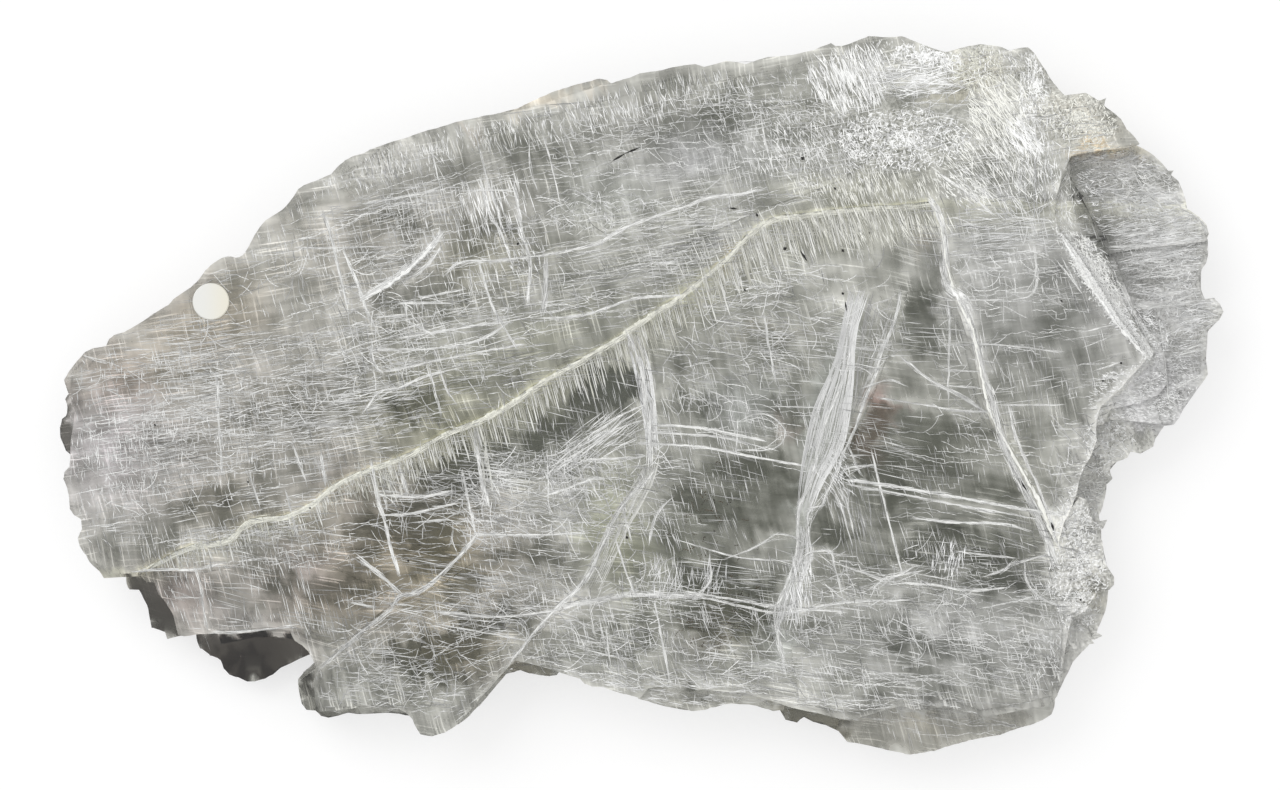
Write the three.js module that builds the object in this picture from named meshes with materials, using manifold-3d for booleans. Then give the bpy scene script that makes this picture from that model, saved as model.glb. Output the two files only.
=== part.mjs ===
// A cleavage slab of selenite, lying on its flat underside, with a small blank paper dot stuck to it.
// Millimetres, +Z up. The origin is the middle of the slab's box, on the plane it rests on.
import * as THREE from 'three';
import { mergeVertices } from 'three/addons/utils/BufferGeometryUtils.js';
import Module from 'manifold-3d';

const wasm = await Module();
wasm.setup();

// Driving dimensions
const SLAB_LENGTH = 320;
const SLAB_THICKNESS = 24;
const DOT_DIAMETER = 10;
const DOT_THICKNESS = 0.6;

// Outlines are lists of points in the pixels of a straight-down view, x to the right and y down.
const LENGTH_IN_PIXELS = 1173;
const MIDDLE_PX = [640.5, 395];
const MM_PER_PX = SLAB_LENGTH / LENGTH_IN_PIXELS;
const DOT_CENTRE_PX = [211, 301.5];

// Heights of the cleavage planes above the underside
const RAISED_TOP = SLAB_THICKNESS;
const FACE_TOP = SLAB_THICKNESS - 1.2;
const FACE_FLOOR = 18.6;
const OVERLAP = 0.4;

const flat = (px, py) => [(px - MIDDLE_PX[0]) * MM_PER_PX, (MIDDLE_PX[1] - py) * MM_PER_PX];

// A repeatable value from -1 to 1 for a pair of whole numbers
function jitter(i, seed) {
  const wave = Math.sin(i * 127.1 + seed * 311.7) * 43758.5453;
  return 2 * (wave - Math.floor(wave)) - 1;
}

// The same value, blended smoothly along a line of whole numbers
function drift(at, seed) {
  const start = Math.floor(at);
  const share = at - start;
  const ease = share * share * (3 - 2 * share);
  return jitter(start, seed) * (1 - ease) + jitter(start + 1, seed) * ease;
}

// The stretches of the slab's rim, clockwise as seen from above, starting at the left end of the growth seam
const LEFT_RIM = [
  [138, 573], [122, 574], [108, 575], [101, 566], [93, 561], [84, 553], [80, 546], [78, 538], [82, 529],
  [81, 519], [74, 515], [70, 509], [69, 498], [67, 488], [63, 479], [64, 472], [69, 467], [70, 456],
  [70, 440], [73, 426], [74, 412], [71, 400], [67, 390], [64, 380],
];
const UPPER_LEFT_RIM = [
  [69, 371], [77, 361], [85, 352], [93, 348], [106, 346], [109, 339], [114, 335], [124, 332], [133, 327],
  [143, 321], [151, 315], [160, 310], [168, 305], [173, 299], [182, 293], [191, 287], [199, 279], [205, 270],
  [213, 263], [221, 258], [229, 256], [237, 258], [243, 255], [249, 246], [254, 236], [260, 227], [266, 220],
  [274, 215], [282, 210], [288, 204], [293, 197], [298, 189], [304, 185], [314, 181], [324, 177], [331, 174],
  [337, 167], [345, 160], [352, 156], [363, 153], [370, 149],
];
const UPPER_RIM = [
  [382, 145], [394, 141], [405, 138], [416, 134], [428, 130], [440, 127], [452, 123], [463, 120], [474, 118],
  [486, 115], [500, 113], [514, 111], [530, 108], [545, 103], [560, 98], [576, 93], [592, 88], [604, 84],
  [612, 83], [620, 80], [630, 77], [640, 73], [652, 71], [662, 70], [672, 67], [684, 65], [695, 64],
  [704, 67], [716, 64], [726, 61], [736, 62], [746, 64], [758, 60], [768, 57], [780, 56], [792, 55],
  [804, 52], [814, 50], [822, 46], [831, 43], [838, 47], [848, 44], [858, 40], [868, 36], [882, 37],
  [892, 37], [902, 36], [912, 40], [922, 44], [934, 49], [946, 52], [956, 49], [968, 46], [980, 44],
  [992, 45], [1002, 47], [1010, 51], [1018, 48], [1028, 47], [1034, 52], [1040, 61], [1046, 70], [1052, 80],
  [1059, 89], [1065, 95],
];
const UPPER_RIGHT_RIM = [
  [1076, 94], [1086, 93], [1096, 99], [1106, 107], [1116, 114], [1121, 119], [1127, 129], [1135, 137],
  [1140, 144], [1130, 147], [1118, 149], [1105, 150], [1090, 152], [1078, 154], [1071, 157],
];
// The broken edge of the smooth plates on the right, from the top down
const RIGHT_BREAK = [
  [1062, 178], [1057, 196], [1055, 214], [1060, 232], [1070, 250], [1080, 268], [1090, 286], [1100, 301],
  [1110, 315], [1122, 330], [1135, 345], [1148, 358], [1139, 369], [1128, 380], [1121, 389], [1111, 398],
  [1101, 407], [1098, 417], [1096, 428], [1097, 440], [1092, 455], [1085, 466], [1080, 480], [1077, 495],
  [1072, 508], [1064, 524],
];
// The long ridge that runs down from the top of the growth seam, from its foot up
const RIDGE = [
  [1058, 546], [1050, 528], [1040, 504], [1027, 479], [1014, 456], [1002, 434], [990, 411], [984, 384],
  [977, 350], [969, 322], [957, 297], [948, 268], [944, 242], [940, 218], [931, 201],
];
// The cream growth seam across the slab, from its upper right end to its lower left end
const SEAM = [
  [915, 203], [895, 205], [870, 206], [846, 208], [825, 210], [805, 213], [786, 214], [770, 218], [756, 226],
  [745, 236], [735, 247], [727, 256], [717, 265], [704, 275], [691, 286], [678, 296], [664, 304], [650, 313],
  [635, 325], [618, 336], [600, 347], [581, 358], [562, 368], [545, 378], [526, 390], [510, 402], [495, 412],
  [480, 418], [462, 425], [445, 432], [428, 442], [410, 452], [390, 460], [370, 467], [351, 475], [335, 483],
  [322, 493], [310, 503], [298, 512], [283, 515], [265, 516], [250, 519], [238, 530], [225, 539], [206, 542],
  [190, 545], [175, 551], [160, 560], [148, 569],
];
// The lower edge of the middle plate, from right to left
const LOWER_RIGHT_RIM = [
  [1068, 540], [1078, 556], [1086, 572], [1088, 588], [1084, 603], [1074, 614], [1070, 628], [1067, 644],
  [1064, 660], [1063, 678], [1058, 696], [1050, 706], [1030, 709], [1010, 713], [986, 717], [965, 712],
  [944, 706], [930, 709], [915, 711], [902, 706], [885, 711], [868, 716], [850, 721], [836, 718], [820, 714],
  [800, 710], [788, 707], [774, 702],
];
const LOWER_RIM = [
  [760, 698], [745, 694], [720, 692], [704, 690], [690, 692], [673, 691], [660, 687], [648, 689], [640, 699],
  [634, 697], [622, 694], [612, 691], [604, 688], [592, 687], [584, 684], [580, 679], [570, 676], [558, 672],
  [546, 668], [530, 664], [512, 660],
];
const LOWER_LEFT_RIM = [
  [506, 667], [498, 677], [489, 688], [480, 699], [471, 710], [463, 719], [455, 727], [445, 733], [432, 737],
  [420, 735], [415, 727], [412, 720], [406, 713], [398, 709], [385, 710], [372, 709], [360, 708], [345, 710],
  [330, 712], [319, 712], [315, 701], [314, 690], [313, 681], [317, 671], [313, 661], [308, 652], [302, 646],
  [294, 641], [288, 629], [270, 630], [250, 633], [230, 634], [208, 634],
];
const LEFT_STEP = [[206, 621], [203, 606], [200, 590], [195, 572], [182, 572], [166, 571]];

// Lower cleavage ledges that stand out past the plates above, each with the height of its top
const LEDGES = [
  {
    // rough shelf on the right, upper part
    top: 18.2,
    outline: [
      [1040, 130], [1100, 130], [1140, 144], [1151, 150], [1160, 157], [1168, 166], [1174, 174], [1181, 180],
      [1185, 189], [1188, 198], [1190, 208], [1202, 216], [1209, 223], [1212, 233], [1209, 241], [1160, 246],
      [1118, 252], [1060, 262],
    ],
  },
  {
    // middle part of the shelf
    top: 16.6,
    outline: [
      [1060, 236], [1118, 240], [1160, 234], [1211, 238], [1212, 252], [1210, 262], [1205, 269], [1202, 278],
      [1205, 290], [1209, 300], [1160, 308], [1130, 304], [1090, 310],
    ],
  },
  {
    // lower part of the shelf
    top: 17.8,
    outline: [
      [1080, 290], [1122, 292], [1150, 300], [1180, 301], [1210, 298], [1217, 297], [1223, 303], [1227, 311],
      [1223, 319], [1217, 325], [1211, 331], [1210, 345], [1209, 360], [1211, 374], [1205, 383], [1199, 391],
      [1193, 400], [1187, 408], [1182, 418], [1177, 425], [1160, 424], [1120, 420], [1060, 420],
    ],
  },
  {
    // sugary foot of the shelf
    top: 15.4,
    outline: [
      [1060, 380], [1160, 380], [1180, 400], [1177, 425], [1168, 426], [1163, 433], [1159, 439], [1157, 447],
      [1150, 451], [1144, 454], [1134, 452], [1131, 458], [1122, 461], [1114, 466], [1113, 472], [1116, 479],
      [1110, 485], [1109, 495], [1107, 504], [1104, 513], [1101, 518], [1080, 530], [1040, 500],
    ],
  },
  {
    // slope between the plate and the shelf, upper step
    top: 20.8,
    outline: [
      [1050, 120], [1071, 158], [1072, 176], [1079, 190], [1086, 203], [1092, 214], [1097, 226], [1103, 240],
      [1110, 251], [1112, 268], [1118, 283], [1124, 300], [1134, 318], [1145, 336], [1156, 352], [1150, 366],
      [1136, 380], [1120, 396], [1080, 400], [1040, 300],
    ],
  },
  {
    // slope between the plate and the shelf, lower step
    top: 19.4,
    outline: [
      [1060, 240], [1108, 245], [1117, 258], [1124, 276], [1130, 292], [1136, 308], [1150, 326], [1162, 342],
      [1168, 360], [1170, 384], [1160, 396], [1140, 404], [1112, 410], [1106, 424], [1080, 430],
    ],
  },
  {
    // powdery white corner
    top: 22.2,
    outline: [
      [1050, 500], [1072, 508], [1080, 497], [1088, 500], [1092, 516], [1098, 534], [1103, 541], [1105, 552],
      [1106, 563], [1110, 570], [1115, 577], [1115, 585], [1110, 590], [1098, 592], [1092, 602], [1086, 612],
      [1074, 618], [1050, 600],
    ],
  },
  {
    // grainy rim under the corner
    top: 17.2,
    outline: [
      [1060, 490], [1101, 512], [1104, 528], [1104, 541], [1106, 560], [1112, 576], [1111, 590], [1110, 602],
      [1108, 612], [1104, 622], [1100, 631], [1096, 640], [1090, 648], [1082, 656], [1075, 664], [1071, 674],
      [1066, 683], [1062, 692], [1056, 700], [1020, 690],
    ],
  },
  {
    // pale lower plate at the bottom right
    top: 17.0,
    outline: [
      [1040, 640], [1060, 690], [1058, 699], [1057, 708], [1054, 716], [1045, 722], [1033, 727], [1018, 731],
      [1002, 737], [985, 740], [968, 744], [952, 748], [936, 753], [912, 757], [897, 754], [880, 750],
      [862, 746], [849, 744], [843, 737], [838, 731], [846, 700], [900, 660],
    ],
  },
  {
    // dark ledge at the bottom
    top: 9.6,
    outline: [
      [860, 690], [850, 744], [843, 737], [838, 731], [826, 729], [815, 726], [806, 721], [799, 727],
      [787, 724], [784, 716], [778, 708], [776, 680],
    ],
  },
  {
    // step under the middle of the bottom edge
    top: 20.6,
    outline: [
      [790, 690], [784, 711], [773, 712], [763, 708], [752, 706], [740, 704], [728, 705], [715, 708],
      [704, 711], [693, 712], [680, 710], [664, 707], [650, 703], [638, 700], [640, 670],
    ],
  },
  {
    // small brown ledge in the notch
    top: 12.4,
    outline: [
      [575, 650], [560, 672], [556, 678], [548, 679], [538, 678], [528, 676], [519, 673], [510, 671],
      [505, 677], [494, 690], [484, 702], [474, 712], [465, 722], [456, 728], [430, 700], [500, 640],
    ],
  },
  {
    // dark foot under the lower left lobe
    top: 11.0,
    outline: [
      [410, 690], [406, 719], [396, 717], [384, 716], [370, 717], [356, 718], [345, 716], [335, 719],
      [325, 721], [318, 719], [312, 714], [303, 713], [298, 707], [296, 699], [294, 688], [294, 682],
      [299, 676], [306, 671], [312, 664], [330, 650],
    ],
  },
  {
    // second step of the lobe's left end
    top: 19.4,
    outline: [
      [340, 700], [314, 712], [314, 700], [305, 697], [300, 691], [296, 685], [300, 680], [308, 675],
      [316, 668], [330, 660],
    ],
  },
  {
    // darkest ledge
    top: 8.0,
    outline: [
      [330, 640], [305, 658], [296, 662], [286, 667], [276, 671], [268, 678], [260, 682], [250, 685],
      [242, 685], [233, 681], [224, 678], [218, 672], [215, 664], [211, 661], [204, 659], [200, 653],
      [194, 652], [191, 645], [189, 635], [200, 600], [300, 600],
    ],
  },
  {
    // thin tan sheet over the darkest ledge
    top: 19.8,
    outline: [
      [300, 620], [294, 641], [281, 638], [262, 637], [250, 639], [240, 641], [230, 643], [220, 645],
      [216, 635], [216, 610],
    ],
  },
  {
    // stepped grey ledge at the lower left
    top: 12.6,
    outline: [
      [200, 590], [190, 637], [178, 638], [163, 641], [161, 635], [159, 630], [147, 630], [145, 620],
      [142, 607], [138, 600], [134, 592], [124, 592], [121, 586], [121, 574], [130, 550],
    ],
  },
  {
    // tan plate left of the step
    top: 21.4,
    outline: [
      [215, 560], [212, 634], [196, 635], [184, 637], [177, 636], [175, 628], [172, 616], [168, 609],
      [163, 601], [157, 595], [153, 583], [145, 583], [139, 576], [150, 560],
    ],
  },
  {
    // thin rim under the left corner
    top: 20.2,
    outline: [
      [140, 560], [136, 577], [120, 578], [102, 579], [98, 572], [92, 567], [87, 562], [84, 555], [95, 540],
    ],
  },
  {
    // dark knobs at the left end
    top: 11.8,
    outline: [
      [90, 380], [67, 386], [63, 393], [59, 399], [61, 404], [62, 411], [60, 416], [56, 419], [54, 428],
      [54, 438], [57, 444], [60, 451], [64, 455], [70, 459], [90, 460],
    ],
  },
  {
    // tan crust along the upper rim
    top: 21.0,
    outline: [
      [490, 140], [478, 121], [486, 116], [503, 111], [520, 106], [536, 98], [552, 91], [570, 85], [586, 81],
      [598, 78], [607, 79], [614, 85], [620, 120],
    ],
  },
];

// Thin flakes that are left on the smooth planes, or low steps in them
const FLAKES = [
  {
    // plate between the pale curved crack and the ridge
    floor: FACE_TOP,
    top: FACE_TOP + 0.45,
    outline: [
      [908, 292], [902, 310], [892, 345], [876, 390], [858, 432], [846, 462], [874, 466], [884, 520],
      [892, 560], [940, 560], [1000, 566], [1036, 556], [1028, 500], [1004, 452], [980, 416], [970, 372],
      [960, 330], [940, 290],
    ],
  },
  {
    // low plate at the bottom right of the middle plate
    floor: FACE_TOP,
    top: FACE_TOP + 0.35,
    outline: [
      [800, 600], [850, 604], [900, 600], [960, 588], [1004, 586], [1038, 598], [1064, 610], [1060, 660],
      [1052, 696], [1010, 706], [980, 710], [950, 700], [900, 700], [860, 712], [800, 704], [792, 650],
    ],
  },
  {
    // plate at the lower left with a straight left side
    floor: FACE_TOP,
    top: FACE_TOP + 0.5,
    outline: [
      [210, 630], [206, 600], [199, 574], [240, 566], [290, 562], [330, 566], [380, 590], [398, 598],
      [376, 616], [352, 636], [330, 642], [296, 632], [270, 627], [240, 630],
    ],
  },
  {
    // plate over the lower left lobe
    floor: FACE_TOP,
    top: FACE_TOP + 0.4,
    outline: [
      [320, 668], [350, 646], [380, 618], [400, 602], [420, 600], [428, 640], [436, 676], [430, 706],
      [370, 706], [320, 708],
    ],
  },
  {
    // flake on the raised plate, along its upper edge
    floor: RAISED_TOP,
    top: RAISED_TOP + 0.4,
    outline: [
      [476, 140], [486, 170], [498, 200], [520, 262], [556, 282], [600, 270], [660, 256], [712, 232],
      [770, 206], [800, 196], [840, 180], [880, 150], [900, 110], [880, 60], [820, 58], [760, 74],
      [700, 84], [640, 92], [580, 108], [520, 126],
    ],
  },
];

// Healed cracks that stand up from a plane as low ridges: centreline in pixels, width and height in mm
const RIDGES = [
  { path: RIDGE, floor: RAISED_TOP, width: 3.2, height: 0.9 },
  { path: [...RIGHT_BREAK.slice(3, 12)], floor: RAISED_TOP, width: 4.2, height: 0.8 },
  {
    path: [
      [908, 292], [898, 330], [880, 378], [862, 420], [846, 462], [826, 498], [808, 530], [800, 562],
      [794, 604], [788, 640],
    ],
    floor: FACE_TOP,
    width: 4.6,
    height: 0.55,
  },
  {
    path: [
      [632, 334], [640, 362], [648, 390], [652, 420], [650, 450], [640, 474], [622, 506], [604, 545],
      [586, 580], [566, 604],
    ],
    floor: FACE_TOP,
    width: 3.0,
    height: 0.45,
  },
  {
    path: [[564, 607], [540, 632], [516, 656], [500, 674], [482, 696]],
    floor: FACE_TOP,
    width: 1.6,
    height: 0.5,
  },
  {
    path: [[478, 560], [452, 578], [428, 592], [408, 596], [390, 610], [366, 628], [346, 644], [320, 668]],
    floor: FACE_TOP,
    width: 1.8,
    height: 0.6,
  },
  {
    path: [
      [570, 601], [620, 598], [680, 600], [720, 600], [760, 608], [800, 612], [850, 604], [900, 596],
    ],
    floor: FACE_TOP,
    width: 1.6,
    height: 0.45,
  },
];
const RIDGE_STEP = 11;
const RIDGE_ROOT = 0.5;
const RIDGE_END_SIZE = 0.18;
const CREST_SHIFT = 0.2;

// A curved bruise in the raised plate, chipped out as a groove
const BRUISE = {
  path: [[372, 296], [392, 287], [412, 272], [428, 256], [438, 238]],
  floor: RAISED_TOP,
  width: 3.6,
  height: -0.8,
};

// Comb of fibres that hangs from the growth seam, in the direction in which they all lean
const FIBRE_LEAN = [0.26, 0.965];
const TOOTH_STEP_PX = 8;
const TOOTH_LENGTH_PX = 22;
const GAP_SHARE = 0.4;
const COMB_ROOT = 0.3;
const COMB_BACK_PX = 4;
const COMB_RISE = 0.1;

// The core under the face: tops of its sheets, and how far their edges are set in, in pixels
const CORE_TOPS = [5.2, 9.8, 14.4, FACE_FLOOR];
const CORE_INSET = { least: 5, atBase: 12, wander: 5, step: 90 };
const UNDERCUT = { step: 80, inset: 2.2, wander: 1.6, seed: 5 };
const UNDERCUT_TOP = FACE_FLOOR + 2;

// Broken lumps strewn over the rough ground: their field in pixels, the ground's height, lump size, rise in mm
const LUMPS = [
  { from: [1090, 170], to: [1180, 226], count: 9, top: 18.2, size: 15, rise: 1.0 },
  { from: [1120, 250], to: [1200, 292], count: 6, top: 16.6, size: 14, rise: 0.9 },
  { from: [1150, 312], to: [1205, 400], count: 8, top: 17.8, size: 13, rise: 0.8 },
  { from: [1112, 412], to: [1160, 446], count: 7, top: 15.4, size: 9, rise: 0.8 },
  { from: [1078, 520], to: [1104, 596], count: 8, top: 22.2, size: 9, rise: 0.9 },
  { from: [1072, 624], to: [1098, 650], count: 5, top: 17.2, size: 8, rise: 0.9 },
  { from: [1056, 102], to: [1124, 142], count: 7, top: RAISED_TOP, size: 10, rise: 0.7 },
  { from: [948, 52], to: [1030, 74], count: 5, top: RAISED_TOP, size: 10, rise: 0.6 },
  { from: [1076, 186], to: [1100, 246], count: 4, top: 20.8, size: 9, rise: 0.7 },
];
const LUMP_STRETCH = [1.7, 0.9];

// Shallow flakes that have come off the underside, near its rim
const UNDER_FLAKES = [
  { depth: 1.6, outline: [[60, 330], [180, 300], [240, 380], [200, 470], [120, 520], [50, 500]] },
  { depth: 2.2, outline: [[880, 20], [1000, 90], [1010, 180], [900, 200], [800, 120], [780, 20]] },
  { depth: 1.9, outline: [[980, 600], [1100, 560], [1120, 700], [940, 770], [900, 690]] },
  { depth: 1.3, outline: [[420, 640], [520, 610], [600, 640], [620, 720], [400, 760]] },
];

// A ledge's own sheets: how thick they are in all, and what share of that the upper one has
const LEDGE_THICKNESS = 3.6;
const LEDGE_UPPER_SHARE = 0.45;

// Corners of two points closer than this are one corner
const WELD = 1e-4;

// Turns a closed geometry into a solid
function solid(geometry) {
  const bare = geometry.index ? geometry.toNonIndexed() : geometry.clone();
  bare.deleteAttribute('normal');
  bare.deleteAttribute('uv');
  const merged = mergeVertices(bare, WELD);
  return new wasm.Manifold(
    new wasm.Mesh({
      numProp: 3,
      vertProperties: merged.attributes.position.array,
      triVerts: new Uint32Array(merged.index.array),
    }),
  );
}

// A sheet of crystal with upright edges
function sheet(outline, low, high) {
  const shape = new THREE.Shape(outline.map(([px, py]) => new THREE.Vector2(...flat(px, py))));
  const geometry = new THREE.ExtrudeGeometry(shape, { depth: high - low, bevelEnabled: false });
  return solid(geometry.translate(0, 0, low));
}

// The unit normal that points into a clockwise outline, at one of its points
function inward(outline, i) {
  const [ax, ay] = outline[(i + outline.length - 1) % outline.length];
  const [bx, by] = outline[(i + 1) % outline.length];
  const length = Math.hypot(bx - ax, by - ay) || 1;
  return [(ay - by) / length, (bx - ax) / length];
}

// An outline walked in even steps, set in by some pixels and broken up by a wander of its own
function ragged(outline, { step, inset, wander, seed }) {
  const walked = [];
  outline.forEach(([ax, ay], i) => {
    const [bx, by] = outline[(i + 1) % outline.length];
    const pieces = Math.max(1, Math.round(Math.hypot(bx - ax, by - ay) / step));
    for (let k = 0; k < pieces; k += 1) {
      walked.push([ax + ((bx - ax) * k) / pieces, ay + ((by - ay) * k) / pieces]);
    }
  });
  return walked.map(([x, y], i) => {
    const [nx, ny] = inward(walked, i);
    const shift = inset + wander * (0.65 * drift(i / 5, seed) + 0.35 * jitter(i, seed + 7));
    return [x + nx * shift, y + ny * shift];
  });
}

// A low ridge with a sharp crest and tapered ends, standing on a plane; a negative height makes a groove
function ridge({ path, width, height, floor }) {
  const points = path.map(([px, py]) => new THREE.Vector2(...flat(px, py)));
  const curve = new THREE.SplineCurve(points);
  const count = Math.max(6, Math.round(curve.getLength() / RIDGE_STEP));
  const sections = [];
  for (let i = 0; i <= count; i += 1) {
    const t = i / count;
    const p = curve.getPoint(t);
    const along = curve.getTangent(t);
    const taper = Math.max(RIDGE_END_SIZE, Math.sin(Math.PI * t) ** 0.4) * (1 + 0.25 * jitter(i, 3));
    const half = (width / 2) * taper;
    const [sx, sy] = [-along.y * half, along.x * half];
    const crest = floor + height * taper;
    const base = floor - Math.sign(height) * RIDGE_ROOT;
    sections.push([
      [p.x + sx, p.y + sy, base],
      [p.x - sx, p.y - sy, base],
      [p.x - sx * CREST_SHIFT, p.y - sy * CREST_SHIFT, crest],
    ]);
  }
  return loft(sections);
}

// A closed solid through a row of sections with the same number of corners
function loft(sections) {
  const corners = sections[0].length;
  const indices = [];
  for (let i = 0; i + 1 < sections.length; i += 1) {
    for (let k = 0; k < corners; k += 1) {
      const a = i * corners + k;
      const b = i * corners + ((k + 1) % corners);
      indices.push(a, b, a + corners, b, b + corners, a + corners);
    }
  }
  const last = (sections.length - 1) * corners;
  for (let k = 1; k + 1 < corners; k += 1) {
    indices.push(0, k + 1, k, last, last + k, last + k + 1);
  }
  const geometry = new THREE.BufferGeometry();
  geometry.setAttribute('position', new THREE.Float32BufferAttribute(sections.flat(2), 3));
  geometry.setIndex(indices);
  const made = solid(geometry);
  return made.volume() < 0 ? solid(turnedOver(geometry)) : made;
}

// The same geometry with its faces turned round
function turnedOver(geometry) {
  const turned = geometry.clone();
  const order = turned.index.array;
  for (let i = 0; i < order.length; i += 3) {
    [order[i + 1], order[i + 2]] = [order[i + 2], order[i + 1]];
  }
  return turned;
}

// The core of the slab: a stack of cleavage sheets, each with a broken edge of its own
function coreSheets(rim) {
  return CORE_TOPS.map((top, k) => {
    const coarse = rim.filter((point, i) => i % CORE_TOPS.length === k);
    const low = k === 0 ? 0 : CORE_TOPS[k - 1] - OVERLAP;
    const depth = 1 - top / SLAB_THICKNESS;
    const inset = CORE_INSET.least + CORE_INSET.atBase * depth;
    const { step, wander } = CORE_INSET;
    return sheet(ragged(coarse, { step, inset, wander, seed: 11 + k }), low, top);
  });
}

// The comb under the growth seam: a skirt that slopes down from the raised plate and ends in teeth
function comb() {
  const points = [...SEAM].reverse().map(([px, py]) => new THREE.Vector2(px, py));
  const curve = new THREE.SplineCurve(points);
  const count = Math.round(curve.getLength() / TOOTH_STEP_PX);
  const sections = [];
  for (let i = 0; i <= count; i += 1) {
    const p = curve.getPointAt(i / count);
    const ends = Math.min(1, (4 * Math.min(i, count - i)) / count + 0.2);
    const share = i % 2 === 0 ? 1 : GAP_SHARE;
    const reach = TOOTH_LENGTH_PX * ends * (share + 0.25 * jitter(i, 22) + 0.3 * drift(i / 7, 23));
    const tip = flat(p.x + FIBRE_LEAN[0] * reach, p.y + FIBRE_LEAN[1] * reach);
    const back = flat(p.x - FIBRE_LEAN[0] * COMB_BACK_PX, p.y - FIBRE_LEAN[1] * COMB_BACK_PX);
    sections.push([
      [...back, FACE_TOP - COMB_ROOT],
      [...tip, FACE_TOP - COMB_ROOT],
      [...tip, FACE_TOP + COMB_RISE],
      [...back, RAISED_TOP + COMB_RISE * (1 + jitter(i, 24))],
    ]);
  }
  return loft(sections);
}

// Small broken lumps, half sunk in the rough ground
function roughLumps() {
  const made = [];
  LUMPS.forEach(({ from, to, count, top, size, rise }, row) => {
    for (let i = 0; i < count; i += 1) {
      const px = from[0] + ((to[0] - from[0]) * (1 + jitter(i, 31 + row))) / 2;
      const py = from[1] + ((to[1] - from[1]) * (1 + jitter(i, 51 + row))) / 2;
      const radius = (size / 2) * MM_PER_PX * (1 + 0.45 * jitter(i, 71 + row));
      const lump = new THREE.OctahedronGeometry(radius, 0);
      lump.scale(...LUMP_STRETCH, rise / radius);
      lump.rotateZ(jitter(i, 91 + row));
      const [x, y] = flat(px, py);
      made.push(solid(lump.translate(x, y, top)));
    }
  });
  return made;
}

function underFlakes() {
  return UNDER_FLAKES.map(({ depth, outline }) => sheet(outline, -1, depth));
}

function slabSolid() {
  const rim = [
    ...LEFT_RIM, ...UPPER_LEFT_RIM, ...UPPER_RIM, ...UPPER_RIGHT_RIM, ...RIGHT_BREAK, ...LOWER_RIGHT_RIM,
    ...LOWER_RIM, ...LOWER_LEFT_RIM, ...LEFT_STEP,
  ];
  const raised = [
    ...LEFT_RIM, ...UPPER_LEFT_RIM, ...UPPER_RIM, ...UPPER_RIGHT_RIM, ...RIGHT_BREAK, ...RIDGE, ...SEAM,
  ];
  const undercut = ragged(rim.filter((point, i) => i % 2 === 0), UNDERCUT);
  const parts = [
    ...coreSheets(rim),
    sheet(undercut, FACE_FLOOR - OVERLAP, UNDERCUT_TOP),
    sheet(rim, UNDERCUT_TOP - OVERLAP, FACE_TOP),
    sheet(raised, FACE_TOP - OVERLAP, RAISED_TOP),
    ...LEDGES.map(({ outline, top }) => ledge(outline, top)),
    ...FLAKES.map(({ outline, floor, top }) => sheet(outline, floor - OVERLAP, top)),
    ...RIDGES.map(ridge),
    comb(),
    ...roughLumps(),
  ];
  const taken = wasm.Manifold.union([ridge(BRUISE), ...underFlakes()]);
  const carved = wasm.Manifold.union(parts).subtract(taken);
  const bodies = carved.decompose().sort((a, b) => b.volume() - a.volume());
  return bodies[0];
}

// A ledge is two sheets thick, and the lower one has a coarser edge
function ledge(outline, top) {
  const split = top - LEDGE_THICKNESS * LEDGE_UPPER_SHARE;
  const lower = outline.filter((point, k) => k % 2 === 0);
  return wasm.Manifold.union([
    sheet(outline, split - OVERLAP, top),
    sheet(lower, top - LEDGE_THICKNESS, split),
  ]);
}

function slabMesh() {
  const { numProp, numVert, vertProperties, triVerts } = slabSolid().getMesh();
  const positions = new Float32Array(numVert * 3);
  for (let i = 0; i < numVert; i += 1) {
    positions.set(vertProperties.subarray(i * numProp, i * numProp + 3), i * 3);
  }
  const geometry = new THREE.BufferGeometry();
  geometry.setAttribute('position', new THREE.BufferAttribute(positions, 3));
  geometry.setIndex(new THREE.BufferAttribute(triVerts, 1));
  const selenite = new THREE.MeshStandardMaterial({
    color: 0xb4b4ae, roughness: 0.32, metalness: 0, flatShading: true,
  });
  const mesh = new THREE.Mesh(geometry, selenite);
  mesh.name = 'selenite_slab';
  return mesh;
}

// The dot has a softly rounded upper edge
function dotMesh() {
  const radius = DOT_DIAMETER / 2;
  const edge = 0.25;
  const profile = [
    [0, 0], [radius, 0], [radius, DOT_THICKNESS - edge], [radius - edge, DOT_THICKNESS], [0, DOT_THICKNESS],
  ].map(([r, z]) => new THREE.Vector2(r, z));
  const geometry = new THREE.LatheGeometry(profile, 40).rotateX(Math.PI / 2);
  const paper = new THREE.MeshStandardMaterial({ color: 0xeeece2, roughness: 0.45, metalness: 0 });
  const mesh = new THREE.Mesh(geometry, paper);
  mesh.name = 'blank_dot_label';
  mesh.position.set(...flat(...DOT_CENTRE_PX), RAISED_TOP);
  return mesh;
}

const part = new THREE.Group();
part.add(slabMesh(), dotMesh());

export default part;
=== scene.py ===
"""Looks for a large cleavage slab of selenite that lies flat, seen straight from above.

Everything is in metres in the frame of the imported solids, +Z up. Features of the crystal's face are placed
by their pixel in a 1280 x 790 straight-down view, and place() turns a pixel into metres on the slab.
"""

import math

import bmesh
import bpy
import numpy as np
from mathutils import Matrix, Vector
from mathutils.bvhtree import BVHTree
from mathutils.geometry import delaunay_2d_cdt
from mathutils.kdtree import KDTree


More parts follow.
